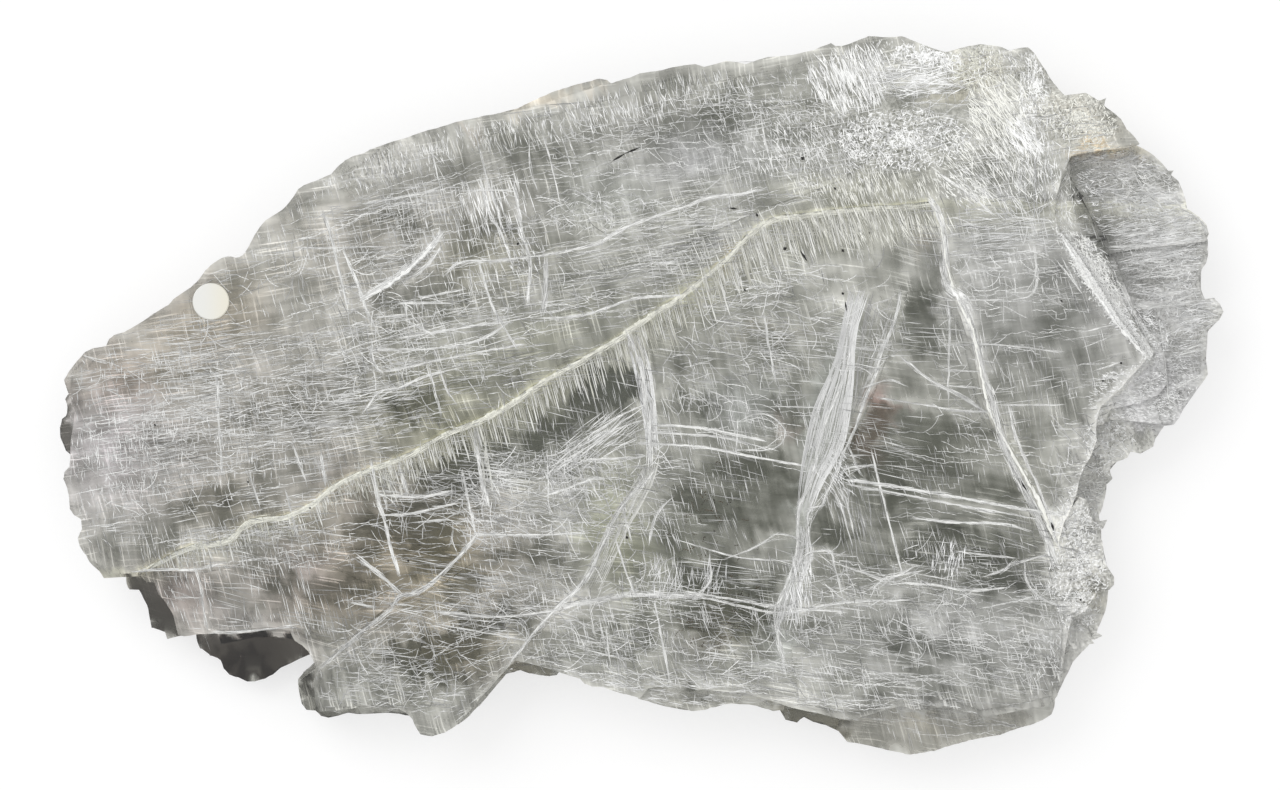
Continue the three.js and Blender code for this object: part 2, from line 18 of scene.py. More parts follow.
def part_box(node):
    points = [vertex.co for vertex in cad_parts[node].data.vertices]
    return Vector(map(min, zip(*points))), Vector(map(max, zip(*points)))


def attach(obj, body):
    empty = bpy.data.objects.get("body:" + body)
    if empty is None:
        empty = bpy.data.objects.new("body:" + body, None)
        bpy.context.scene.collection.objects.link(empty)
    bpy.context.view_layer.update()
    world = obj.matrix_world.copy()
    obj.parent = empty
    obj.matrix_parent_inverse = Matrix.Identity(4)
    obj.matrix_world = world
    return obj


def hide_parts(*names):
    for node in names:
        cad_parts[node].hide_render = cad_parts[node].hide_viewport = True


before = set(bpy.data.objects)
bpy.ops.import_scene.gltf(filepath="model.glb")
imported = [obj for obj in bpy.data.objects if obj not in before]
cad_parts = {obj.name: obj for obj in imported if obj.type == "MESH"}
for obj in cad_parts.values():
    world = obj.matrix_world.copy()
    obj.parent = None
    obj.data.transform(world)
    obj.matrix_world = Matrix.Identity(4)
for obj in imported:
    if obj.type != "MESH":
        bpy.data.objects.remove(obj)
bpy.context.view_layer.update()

MM = 0.001
SLAB_LOW, SLAB_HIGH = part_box("selenite_slab")
DOT_LOW, DOT_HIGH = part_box("blank_dot_label")

# The slab's length in pixels, and the pixel over the middle of its box
SLAB_LENGTH_PX = 1173
MIDDLE_PX = np.array([640.5, 395.0])
PX = (SLAB_HIGH.x - SLAB_LOW.x) / SLAB_LENGTH_PX

# Height of the raised cleavage plane
RAISED_TOP = DOT_LOW.z


def place(points):
    """Pixels of the straight-down view, as x and y in metres."""
    points = np.asarray(points, float)
    return (points - MIDDLE_PX) * [PX, -PX]


def pixel(points):
    """The pixel over each point in metres."""
    return np.asarray(points)[..., :2] / [PX, -PX] + MIDDLE_PX


class Noise:
    """Smooth, repeatable noise from -1 to 1 on a box of random values that repeats every 32 cells."""

    CELLS = 32

    def __init__(self, seed):
        self.values = np.random.RandomState(seed).uniform(-1, 1, (self.CELLS,) * 3)

    def __call__(self, points):
        low = np.floor(points).astype(int)
        share = points - low
        share = share * share * (3 - 2 * share)
        total = np.zeros(len(points))
        for corner in np.ndindex(2, 2, 2):
            corner = np.array(corner)
            weight = np.prod(np.where(corner, share, 1 - share), axis=1)
            x, y, z = ((low + corner) % self.CELLS).T
            total += weight * self.values[x, y, z]
        return total


# Spacing of the points of the crystal's surface, in mm: on planes that face up, down, and on broken edges
UP_STEP = 1.15
DOWN_STEP = 5.0
EDGE_STEP = 0.95
# Shares of that spacing: between the rows of a grid, from the rim to inner points, and off the grid
ROW_STEP = 0.866
CLEAR_OF_RIM = 0.62
JITTER = 0.18


def split_edges(bm):
    """Points along every edge, so that the faces on both sides share them."""
    points = [v.co / MM for v in bm.verts]
    along = {}
    for edge in bm.edges:
        a, b = edge.verts
        flat_down = all(f.normal.z < -0.9 for f in edge.link_faces) or max(a.co.z, b.co.z) < 0.1 * MM
        step = DOWN_STEP if flat_down else EDGE_STEP * 1.1
        count = max(1, round((a.co - b.co).length / MM / step))
        run = [a.index]
        for k in range(1, count):
            run.append(len(points))
            points.append((a.co + (b.co - a.co) * k / count) / MM)
        along[edge.index] = run + [b.index]
    return points, along


def outline_of(face, along):
    """The indices of a face's rim points, in order."""
    rim = []
    for loop in face.loops:
        run = along[loop.edge.index]
        if run[0] != loop.vert.index:
            run = run[::-1]
        rim.extend(run[:-1])
    return rim


def inner_points(rim, step, random):
    """Points of a jittered grid that lie inside a flat outline, clear of its rim."""
    low, high = rim.min(0) + step / 2, rim.max(0)
    xs = np.arange(low[0], high[0], step)
    ys = np.arange(low[1], high[1], step * ROW_STEP)
    if not len(xs) or not len(ys):
        return np.zeros((0, 2))
    grid = np.array([(x + (k % 2) * step / 2, y) for k, y in enumerate(ys) for x in xs])
    grid += random.uniform(-JITTER, JITTER, grid.shape) * step
    grid = grid[inside(grid, rim)]
    tree = KDTree(len(rim))
    for i, point in enumerate(rim):
        tree.insert((*point, 0), i)
    tree.balance()
    clear = [tree.find((*point, 0))[2] > step * CLEAR_OF_RIM for point in grid]
    return grid[np.array(clear, bool)]


def fine_surface(node):
    """The node's solid with its flat faces filled by evenly spaced points: points in mm, and triangles."""
    bm = bmesh.new()
    bm.from_mesh(node.data)
    bmesh.ops.remove_doubles(bm, verts=bm.verts, dist=1e-6)
    bmesh.ops.dissolve_limit(bm, angle_limit=math.radians(0.5), verts=bm.verts, edges=bm.edges)
    for group in (bm.verts, bm.edges, bm.faces):
        group.index_update()
    random = np.random.RandomState(7)
    points, along = split_edges(bm)
    triangles = []
    for face in bm.faces:
        normal = face.normal
        across = Vector((1, 0, 0)) if abs(normal.z) > 0.9 else Vector((0, 0, 1)).cross(normal).normalized()
        up = normal.cross(across)
        rim = outline_of(face, along)
        origin = points[rim[0]]
        flat = np.array([((points[i] - origin).dot(across), (points[i] - origin).dot(up)) for i in rim])
        step = UP_STEP if normal.z > 0.9 else DOWN_STEP if normal.z < -0.9 else EDGE_STEP
        inner = inner_points(flat, step, random)
        count = len(rim)
        edges = [(i, (i + 1) % count) for i in range(count)]
        given = [Vector(p) for p in np.concatenate([flat, inner])]
        made, _, faces, origins, _, _ = delaunay_2d_cdt(given, edges, [], 1, 1e-5)
        index = []
        for place_2d, from_given in zip(made, origins):
            if from_given and from_given[0] < count:
                index.append(rim[from_given[0]])
            else:
                index.append(len(points))
                points.append(origin + across * place_2d.x + up * place_2d.y)
        triangles.extend([index[i] for i in tri] for tri in faces)
    bm.free()
    return np.array(points), np.array(triangles)


# Directions of the fibres, in degrees from +X: steep everywhere, and level above and below the growth seam
STEEP = -75
LEVEL_ABOVE = 9
LEVEL_BELOW = -8

# Lines and outlines on the face of the crystal, in pixels
SEAM = [
    (931, 201), (895, 205), (846, 208), (805, 213), (770, 218), (745, 236), (727, 256), (704, 275),
    (678, 296), (650, 313), (618, 336), (581, 358), (545, 378), (510, 402), (480, 418), (445, 432),
    (410, 452), (370, 467), (335, 483), (310, 503), (283, 515), (250, 519), (225, 539), (190, 545),
    (160, 560), (140, 570),
]
RIDGE = [
    (931, 201), (940, 218), (944, 242), (948, 268), (957, 297), (969, 322), (977, 350), (984, 384),
    (990, 411), (1002, 434), (1014, 456), (1027, 479), (1040, 504), (1050, 528), (1058, 546),
]
CREST = [
    (1052, 165), (1058, 196), (1057, 220), (1066, 243), (1080, 268), (1090, 286), (1100, 301),
    (1110, 315), (1122, 330), (1135, 345), (1147, 358), (1128, 380), (1111, 398), (1100, 410),
    (1096, 440), (1085, 466), (1078, 492), (1068, 515), (1060, 540),
]
GULLY = [
    (1070, 160), (1092, 164), (1104, 200), (1118, 240), (1112, 264), (1098, 256), (1084, 228),
    (1072, 196),
]
BLUE_BAND = [
    (860, 300), (856, 330), (855, 350), (854, 385), (845, 446), (824, 481), (811, 515), (808, 530),
    (806, 552), (800, 590), (790, 640), (784, 668), (768, 664), (772, 630), (782, 596), (792, 560),
    (797, 520), (798, 500), (802, 460), (814, 406), (834, 364), (842, 326), (847, 300),
]
SECOND_BAND = [
    (622, 332), (644, 334), (652, 372), (656, 420), (660, 452), (648, 486), (634, 512), (624, 545),
    (604, 572), (584, 600), (562, 612), (572, 590), (588, 560), (598, 520), (622, 488), (640, 462),
    (644, 430), (638, 386),
]
POWDER = [
    (1062, 508), (1078, 488), (1092, 512), (1104, 540), (1106, 566), (1116, 580), (1098, 594),
    (1086, 614), (1072, 622), (1058, 600), (1046, 560),
]
ROUGH_GROUND = [
    (1070, 152), (1140, 144), (1230, 210), (1235, 330), (1180, 440), (1112, 500), (1120, 590),
    (1070, 700), (1056, 700), (1070, 620), (1052, 560), (1072, 500), (1100, 410), (1150, 360),
    (1108, 260), (1070, 190),
]
SHELF = [
    (1072, 150), (1140, 150), (1180, 180), (1210, 225), (1222, 300), (1200, 370), (1150, 420),
    (1165, 380), (1152, 340), (1120, 300), (1090, 245), (1074, 200),
]
CLEAR_FIELD = [(868, 402), (930, 412), (985, 416), (1030, 506), (905, 486), (868, 484), (850, 452)]
# The lower cleavage face: below the seam and left of the ridge
FACE = SEAM[::-1] + RIDGE[1:] + [(1058, 760), (40, 760), (40, 580)]


def smooth_line(points, step=4.0):
    """A line through the points, as a smooth curve with even steps, in pixels."""
    points = np.asarray(points, float)
    ends = np.concatenate([[2 * points[0] - points[1]], points, [2 * points[-1] - points[-2]]])
    out = []
    for k in range(1, len(ends) - 2):
        p0, p1, p2, p3 = ends[k - 1:k + 3]
        count = max(1, int(np.linalg.norm(p2 - p1) / step))
        for t in np.arange(count) / count:
            out.append(0.5 * (2 * p1 + (p2 - p0) * t + (2 * p0 - 5 * p1 + 4 * p2 - p3) * t ** 2
                              + (3 * p1 - p0 - 3 * p2 + p3) * t ** 3))
    return np.array(out + [points[-1]])


def inside(points, outline):
    """Which points lie inside an outline, both in pixels."""
    outline = np.asarray(outline, float)
    a, b = outline, np.roll(outline, -1, axis=0)
    rise = np.where(b[:, 1] == a[:, 1], 1e-9, b[:, 1] - a[:, 1])
    slope = (b[:, 0] - a[:, 0]) / rise
    crosses = (a[:, 1] > points[:, None, 1]) != (b[:, 1] > points[:, None, 1])
    left_of = points[:, None, 0] < a[:, 0] + (points[:, None, 1] - a[:, 1]) * slope
    return (crosses & left_of).sum(1) % 2 == 1


def distance(points, line):
    """How far each point is from a line, both in pixels."""
    line = np.asarray(line, float)
    nearest = np.full(len(points), 1e9)
    for a, b in zip(line[:-1], line[1:]):
        run = b - a
        share = np.clip(((points - a) @ run) / max(run @ run, 1e-9), 0, 1)
        nearest = np.minimum(nearest, np.linalg.norm(points - a - share[:, None] * run, axis=1))
    return nearest


def ramp(values, start, end):
    """0 at start and 1 at end, with a smooth change between them."""
    share = np.clip((values - start) / (end - start), 0, 1)
    return share * share * (3 - 2 * share)


def within(points, outline, soft):
    """1 inside an outline and 0 outside, with an edge that fades over some pixels."""
    closed = list(outline) + [outline[0]]
    away = distance(points, closed) * np.where(inside(points, outline), 1, -1)
    return ramp(away, -soft, soft)


def patch(points, x, y, wide, high, turn=0.0):
    """A soft round patch: 1 in its middle and 0 at its rim. The turn is in degrees, clockwise as seen."""
    angle = math.radians(turn)
    dx, dy = points[:, 0] - x, points[:, 1] - y
    u = (dx * math.cos(angle) + dy * math.sin(angle)) / wide
    v = (-dx * math.sin(angle) + dy * math.cos(angle)) / high
    return np.clip(1 - (u * u + v * v) * 0.5, 0, 1) ** 2


def patches(points, table):
    """For each row of a table of patches: its share at each point, and the row's last numbers."""
    for x, y, wide, high, turn, *amounts in table:
        yield patch(points, x, y, wide, high, turn), *amounts


# Clear windows (below 0) and cloudy fields (above 0): middle, half sizes, turn, change of tone
CLOUDS = [
    (930, 110, 170, 80, 5, 22), (1040, 90, 95, 60, 20, 16), (1000, 225, 95, 70, 0, 14),
    (630, 200, 75, 45, 0, 12), (718, 118, 52, 26, -8, -26), (660, 135, 40, 20, 0, -14),
    (540, 172, 38, 42, 0, -22), (462, 165, 22, 14, 0, -16), (405, 226, 25, 18, 0, -36),
    (438, 292, 30, 14, 0, -24), (437, 312, 32, 14, 0, -26), (388, 307, 26, 8, -8, -30),
    (482, 238, 26, 22, 0, -22), (312, 242, 30, 16, 0, -10), (108, 378, 26, 14, 0, -22),
    (412, 405, 26, 24, 0, -52), (463, 378, 20, 13, 0, -34), (338, 402, 42, 14, -8, -22),
    (248, 408, 18, 12, 0, -26), (264, 414, 14, 8, 0, -22), (604, 388, 38, 18, -20, -78),
    (548, 430, 34, 15, -25, -58), (585, 432, 24, 12, -20, -26), (455, 468, 28, 18, -10, -54),
    (408, 528, 40, 16, 0, -62), (370, 540, 26, 30, 0, -44), (430, 555, 32, 22, 0, -40),
    (330, 585, 62, 18, 0, -40), (280, 582, 24, 14, 0, -18), (466, 585, 18, 18, 0, -40),
    (215, 505, 46, 22, -8, -32), (235, 490, 22, 10, -8, -14), (335, 615, 40, 13, 0, -24),
    (445, 640, 50, 14, -8, -50), (440, 664, 34, 16, 0, -38), (540, 552, 40, 12, 0, -40),
    (632, 642, 18, 18, 0, -36), (742, 492, 64, 44, 0, -44), (705, 540, 56, 40, 0, -27),
    (728, 602, 42, 42, 0, -56), (700, 405, 22, 14, 0, -32), (797, 408, 14, 32, 0, -36),
    (768, 338, 34, 18, 0, -24), (940, 450, 40, 26, 8, -18), (960, 548, 62, 22, 5, -46),
    (828, 530, 22, 22, 0, -42), (855, 545, 28, 24, 0, -26), (918, 318, 16, 44, 0, -36),
    (945, 345, 14, 24, 0, -18), (1000, 585, 32, 14, 0, -50), (918, 643, 42, 12, 0, -50),
    (960, 648, 34, 10, 0, -22), (910, 705, 40, 14, 0, -18), (858, 678, 20, 14, 0, -18),
    (920, 730, 24, 10, 0, -26), (1040, 350, 46, 46, 0, -22), (1058, 385, 12, 20, 0, -20),
    # The patches at (1088, 200) and (1100, 232) are painted shade in the gully.
    (1088, 200, 14, 30, -25, -44), (1100, 232, 12, 16, -25, -34), (1118, 290, 14, 12, 0, -30),
    (1150, 262, 28, 16, 0, -12), (845, 285, 44, 24, 0, 12), (545, 503, 78, 24, 0, 16),
    (915, 612, 58, 12, 0, 20), (585, 612, 34, 10, 0, 18), (190, 388, 66, 28, 0, 8),
    (92, 470, 30, 50, 0, 14), (215, 556, 42, 12, 0, 10), (1125, 342, 22, 20, 0, 22),
    (1060, 450, 18, 60, 0, 16), (1065, 600, 22, 30, 0, 24), (1040, 640, 30, 34, 0, 12),
    (700, 680, 70, 14, 4, 18), (585, 672, 46, 12, 8, 20), (432, 718, 26, 14, 0, 12),
    (470, 690, 26, 20, 0, 12), (820, 690, 44, 12, 0, 14), (780, 640, 14, 30, 0, 10),
    (705, 700, 16, 7, 0, -46), (110, 400, 24, 12, 0, 8), (340, 470, 22, 12, -20, 10),
    (310, 500, 26, 10, -20, 12), (480, 318, 34, 16, -10, 10), (545, 300, 26, 20, 0, 8),
    (880, 140, 40, 50, 0, 14), (690, 108, 26, 12, 0, -8), (860, 58, 190, 26, 2, 26),
    (560, 108, 150, 26, -19, 20), (400, 160, 90, 26, -24, 24), (480, 190, 90, 30, -10, 14),
    (285, 262, 60, 44, -35, 26), (150, 350, 110, 70, -10, 14), (620, 150, 70, 26, -8, 20),
    (760, 160, 60, 40, 0, 20), (640, 215, 70, 26, 0, 12), (980, 150, 80, 60, 0, 14),
    (870, 265, 60, 40, 0, 14), (1000, 270, 50, 60, 0, 14), (880, 490, 34, 22, 8, -34),
    (868, 452, 20, 20, 0, -24), (980, 458, 30, 24, 0, 30), (450, 485, 44, 34, 0, -26),
    (1014, 560, 32, 30, 0, -22), (764, 458, 20, 16, 0, -24), (768, 612, 20, 20, 0, -22),
    (400, 580, 60, 24, 0, -14), (160, 590, 34, 26, 0, -20), (610, 690, 60, 14, 8, 28),
    (830, 735, 40, 12, 0, 16), (810, 668, 40, 18, 0, 16), (1075, 620, 20, 40, 0, 20),
    (1130, 250, 30, 26, 0, -18), (1180, 330, 24, 34, 0, -12), (1160, 440, 40, 24, 0, 26),
    (900, 62, 70, 14, 0, 14), (1052, 395, 34, 60, 0, 14), (1010, 320, 40, 30, 0, 12),
    (560, 180, 26, 20, 0, 6), (1090, 125, 50, 26, 20, 26), (740, 60, 60, 20, 0, 14),
    (1010, 100, 50, 30, 0, 14), (780, 280, 90, 40, 0, 14), (330, 350, 60, 60, 0, 14),
    (110, 470, 60, 60, 0, 14), (960, 640, 90, 40, 0, 12), (690, 180, 80, 40, 0, 12),
    (300, 222, 50, 30, -30, 14), (1110, 370, 20, 30, 0, 16), (340, 400, 60, 20, 0, 10),
    (850, 190, 90, 20, 0, 12), (606, 392, 44, 24, -20, -34), (530, 425, 42, 22, -20, -24),
    (470, 465, 60, 26, -15, -24), (400, 498, 56, 22, 0, -24), (755, 460, 40, 20, 0, -16),
    (915, 515, 40, 36, 0, -24), (1012, 520, 40, 44, 0, -19), (445, 550, 46, 40, 0, -18),
    (300, 548, 50, 20, 0, -16), (140, 560, 40, 30, 0, -22), (262, 580, 30, 16, 0, -14),
    (462, 588, 24, 24, 0, -16), (705, 582, 44, 18, 0, -24), (620, 582, 24, 18, 0, -16),
    (960, 580, 80, 16, 0, -13), (480, 622, 52, 18, -20, -27), (382, 622, 26, 14, 0, -16),
    (772, 622, 28, 22, 0, -19), (424, 662, 36, 24, 0, -23), (500, 655, 52, 20, -20, -13),
    (320, 690, 32, 28, 0, -13), (703, 700, 26, 12, 0, -24), (900, 742, 60, 16, 0, -22),
    (1060, 240, 18, 34, 0, -12), (940, 262, 20, 20, 0, -13), (740, 262, 18, 14, 0, -12),
    (420, 380, 26, 18, 0, -14), (300, 380, 30, 20, 0, -12), (980, 380, 26, 20, 0, -12),
    (64, 440, 20, 40, 0, -13), (640, 540, 32, 20, 0, -13), (600, 240, 54, 42, 0, 14),
    (340, 182, 26, 16, 0, 15), (540, 184, 20, 20, 0, 14), (720, 222, 40, 16, 0, 13),
    (1020, 262, 26, 26, 0, 15), (262, 370, 32, 32, 0, 16), (140, 342, 28, 18, 0, 12),
    (860, 302, 24, 18, 0, 24), (1062, 462, 22, 28, 0, 17), (190, 500, 54, 24, 0, 14),
    (100, 505, 26, 20, 0, 12), (120, 422, 36, 18, 0, 9), (620, 662, 26, 16, 0, 14),
    (812, 690, 50, 26, 0, 20), (1022, 702, 28, 16, 0, 14), (930, 110, 130, 60, 0, -8),
    (500, 222, 22, 22, 0, -19), (868, 430, 15, 42, 12, -42), (848, 500, 30, 30, 0, -16),
    (900, 505, 34, 26, 0, -14), (838, 582, 40, 20, 0, -16), (330, 395, 44, 30, 0, -17),
    (420, 342, 26, 18, 0, -15), (470, 450, 36, 46, 0, -22), (595, 455, 36, 20, 0, -16),
    (605, 392, 40, 26, -20, -16), (745, 622, 30, 20, 0, -18), (822, 622, 24, 18, 0, -16),
    (470, 622, 56, 18, 0, -17), (345, 660, 26, 20, 0, -14), (540, 102, 30, 14, -20, 18),
    (1060, 180, 16, 60, 0, 20), (1018, 62, 30, 16, 0, 14), (225, 262, 26, 18, -35, 14),
    (420, 140, 34, 16, -20, 14), (880, 80, 60, 24, 0, 8), (330, 300, 40, 22, 0, 10),
    (560, 98, 46, 20, -16, 12), (1005, 62, 46, 24, 0, 12), (1080, 130, 50, 30, 10, 14),
    (340, 220, 60, 20, -20, 9), (242, 260, 34, 18, -35, 9), (860, 182, 70, 18, 0, 9),
    (780, 222, 100, 20, 0, 10), (860, 298, 22, 18, 0, 9), (285, 340, 40, 22, 0, 10),
    (540, 350, 26, 26, 0, 8), (662, 380, 20, 24, 0, 12), (1088, 545, 34, 50, 0, 10),
    (580, 500, 30, 22, 0, 10), (820, 500, 18, 22, 0, 8), (740, 540, 30, 20, 0, 7),
    (420, 580, 26, 18, 0, 8), (300, 620, 56, 14, 0, 10), (620, 620, 26, 16, 0, 10),
    (780, 660, 24, 20, 0, 10), (1060, 660, 22, 26, 0, 13), (438, 702, 40, 16, 0, 12),
    (820, 704, 56, 16, 0, 13), (1035, 702, 36, 18, 0, 13), (100, 540, 30, 18, 0, 10),
    (980, 340, 20, 26, 0, 8), (60, 420, 22, 26, 0, -18), (460, 460, 30, 20, -15, -14),
    (604, 400, 40, 26, -20, -14), (862, 460, 22, 22, 0, -16), (424, 660, 34, 20, 0, -16),
    (498, 622, 34, 16, -15, -16), (704, 702, 26, 12, 0, -16), (560, 98, 46, 18, -16, 12),
    (420, 142, 30, 14, -24, 10), (1060, 200, 16, 36, 0, 16), (1085, 338, 34, 20, 0, 12),
    (1100, 415, 14, 24, 0, 12), (1100, 560, 18, 34, 0, 16), (1020, 698, 26, 14, 0, 12),
    (330, 220, 50, 18, -30, 9), (240, 258, 34, 16, -35, 11), (300, 320, 24, 34, 0, 9),
    (720, 222, 40, 14, 0, 9), (820, 182, 30, 16, 0, 8), (842, 300, 34, 18, 0, 10),
    (938, 300, 16, 16, 0, 8), (980, 340, 18, 20, 0, 9), (660, 378, 16, 22, 0, 11),
    (98, 540, 22, 18, 0, 11), (300, 618, 52, 12, 0, 11), (780, 500, 18, 20, 0, 9),
    (820, 700, 56, 14, 0, 12), (780, 660, 20, 20, 0, 8), (438, 702, 36, 14, 0, 10),
    (618, 620, 22, 14, 0, 7), (736, 62, 30, 14, 0, 8), (1018, 60, 22, 14, 0, 10),
    (58, 420, 18, 30, 0, -14), (462, 478, 26, 34, 0, -26), (560, 460, 44, 16, 0, -18),
    (612, 392, 36, 30, -20, -24), (862, 458, 20, 22, 0, -22), (410, 515, 40, 34, 0, -19),
    (480, 622, 40, 16, -10, -22), (430, 660, 40, 16, 0, -20), (700, 580, 26, 16, 0, -19),
    (740, 618, 24, 18, 0, -17), (496, 222, 18, 18, 0, -19), (780, 140, 24, 18, 0, -15),
    (862, 140, 24, 18, 0, -12), (702, 702, 22, 10, 0, -16), (304, 698, 16, 16, 0, -14),
    (640, 450, 12, 60, 0, 6), (260, 425, 30, 18, 0, -8), (560, 545, 20, 16, 0, 8),
    (455, 462, 30, 22, -10, -24), (560, 460, 46, 18, -5, -19), (440, 540, 44, 22, 0, -19),
    (382, 580, 22, 18, 0, -14), (705, 600, 34, 34, 0, -24), (740, 620, 26, 18, 0, -12),
    (480, 622, 40, 14, -10, -21), (424, 662, 34, 18, 0, -22), (360, 378, 46, 16, -6, -19),
    (420, 342, 26, 14, 0, -13), (878, 460, 34, 18, 8, -20), (880, 420, 16, 18, 0, -12),
    (985, 500, 24, 16, 0, -13), (340, 540, 24, 16, 0, -13), (850, 118, 34, 40, 0, -13),
    (1020, 140, 22, 20, 0, -16), (780, 140, 24, 18, 0, -12), (498, 222, 18, 18, 0, -19),
    (300, 418, 50, 18, 0, -12), (702, 702, 20, 10, 0, -14), (500, 300, 22, 18, 0, 11),
    (612, 258, 24, 18, 0, 9), (735, 222, 18, 14, 0, 10), (840, 300, 24, 16, 0, 9),
    (660, 378, 16, 18, 0, 9), (660, 452, 18, 16, 0, 11), (820, 500, 18, 18, 0, 11),
    (740, 500, 50, 18, 0, 8), (550, 98, 40, 14, -16, 13), (740, 60, 24, 12, 0, 9),
    (1060, 100, 22, 22, 0, 12), (1115, 140, 40, 16, 15, 14), (872, 335, 16, 40, 12, 9),
    (868, 442, 14, 16, 0, -18), (790, 428, 12, 18, 0, 12),
]
# Casts of colour: middle, half sizes, turn, red over green and blue over green on a scale of 255
CASTS = [
    (190, 335, 100, 42, -32, 7, -7), (110, 378, 40, 24, 0, 7, -3), (330, 240, 70, 50, 0, 3, -2),
    (470, 260, 60, 60, 0, 1, -5), (220, 505, 60, 30, 0, 3, -4), (390, 560, 110, 60, 0, 5, -8),
    (330, 610, 70, 26, 0, 4, -6), (465, 650, 60, 26, 0, 5, -7), (450, 540, 30, 40, 0, 3, -8),
    (720, 150, 80, 40, 0, -1, 5), (745, 405, 50, 34, 0, -3, 5), (610, 190, 50, 40, 0, -2, 2),
    (880, 410, 16, 26, -12, 22, 4), (868, 446, 12, 18, -12, 12, 0), (420, 570, 150, 90, 0, 4, -1),
    (190, 590, 80, 40, 0, 5, 0), (460, 400, 120, 50, -20, 1, -6), (560, 330, 90, 30, -20, 0, -5),
    (975, 75, 34, 22, 0, 6, -10), (1085, 125, 50, 26, 20, 4, -6), (1100, 148, 34, 8, 5, 8, -12),
    (945, 95, 20, 12, 0, 4, -10), (540, 102, 40, 8, -18, 10, -10), (600, 84, 26, 6, -10, 6, -5),
    (478, 132, 12, 12, 0, 8, -4), (925, 240, 16, 14, 0, 7, -6), (770, 332, 40, 10, 0, 5, -6),
    (715, 632, 36, 24, 0, 6, -8), (610, 520, 24, 60, 15, -2, -9), (660, 560, 60, 60, 0, -1, -4),
    (790, 430, 14, 14, 0, 6, 0), (925, 728, 26, 12, 0, 3, -6), (600, 388, 40, 20, -20, -3, 4),
    (1100, 595, 16, 26, 0, 2, -6), (300, 560, 30, 14, 0, 3, 3), (110, 440, 50, 60, 0, 2, 5),
    (860, 190, 80, 16, 0, 1, -9), (735, 252, 16, 10, -40, 10, -18), (230, 380, 190, 160, 0, 4, 0),
    (420, 560, 150, 110, 0, 4, 0), (960, 640, 160, 80, 0, 0, 6), (1010, 290, 100, 110, 0, 0, 6),
    (1140, 330, 90, 150, 0, 0, 4), (120, 460, 90, 80, 0, 2, 7), (440, 230, 130, 90, 0, 3, 2),
    (640, 140, 100, 50, 0, 1, 2), (1090, 520, 40, 90, 0, 0, 3), (250, 620, 90, 60, 0, 3, 2),
    (872, 430, 20, 40, 12, 10, 0), (430, 570, 70, 50, 0, 1, -7), (450, 650, 50, 26, 0, 2, -4),
    (110, 380, 50, 40, 0, 5, 0), (225, 310, 50, 40, -30, 3, -4), (345, 480, 40, 40, 0, 4, 0),
    (450, 660, 50, 24, 0, 4, 0), (420, 400, 60, 70, 0, 0, -5), (540, 380, 34, 50, 0, 0, -5),
    (620, 520, 34, 90, 0, 0, -5), (440, 600, 40, 70, 0, 0, -4), (680, 300, 34, 18, 0, 0, -5),
    (740, 620, 26, 22, 0, 0, -4), (680, 160, 40, 36, 0, 0, 5), (230, 480, 230, 160, 0, 2.5, 0),
    (430, 580, 90, 110, 0, 2.5, 0), (450, 420, 80, 60, 0, 0, -5), (500, 258, 70, 30, 0, 0, -5),
    (705, 290, 34, 26, 0, 0, -5), (620, 540, 24, 60, 0, 0, -5), (425, 660, 34, 18, 0, 0, -5),
    (700, 642, 24, 28, 0, 0, 5), (742, 620, 18, 18, 0, 0, -4), (1098, 150, 30, 8, 5, 16, -14),
    (180, 600, 26, 34, 0, 7, 0), (310, 580, 60, 40, 0, 5, 3), (880, 400, 14, 14, -12, 10, 2),
    (735, 262, 12, 10, -40, 6, -8), (878, 412, 13, 24, 0, 14, -10), (868, 442, 13, 16, 0, 14, -4),
    (790, 428, 12, 18, 0, 6, 0),
]
# Ledges that stand lower than the face: outline, tone, red over green, blue over green
# The darkest ledges are partly their own grey and partly painted shade of the steps under the top sheet.
LEDGE_TONES = [
    ([(186, 634), (300, 632), (312, 654), (250, 690), (205, 664)], 38, 16, -6),
    ([(210, 648), (262, 654), (250, 690), (212, 668)], 52, 12, -2),
    ([(118, 574), (150, 576), (176, 612), (186, 644), (150, 640), (118, 590)], 66, 7, -3),
    ([(292, 664), (312, 676), (330, 712), (412, 716), (412, 724), (300, 722)], 100, 1, -3),
    ([(500, 660), (562, 668), (560, 684), (500, 680)], 104, 6, -12),
    ([(776, 700), (850, 718), (846, 746), (780, 726)], 98, 5, -12),
    ([(50, 384), (68, 386), (70, 462), (50, 450)], 86, 4, -4),
    ([(1050, 84), (1090, 92), (1134, 116), (1172, 148), (1140, 152), (1066, 148)], 188, 4, -8),
    ([(1045, 620), (1104, 606), (1088, 650), (1066, 704), (1042, 704)], 186, 0, 0),
    ([(1066, 146), (1140, 150), (1180, 180), (1215, 225), (1232, 300), (1200, 380), (1165, 440),
      (1112, 410), (1152, 358), (1108, 290), (1074, 200)], 154, 0, 3),
    ([(1130, 362), (1218, 346), (1204, 386), (1166, 442), (1108, 412)], 160, 0, 3),
    ([(846, 712), (900, 716), (1000, 718), (1050, 720), (1000, 744), (915, 760), (850, 750)], 132, 2, -2),
    ([(664, 684), (760, 700), (790, 706), (776, 718), (700, 714), (660, 702)], 132, 1, -2),
]

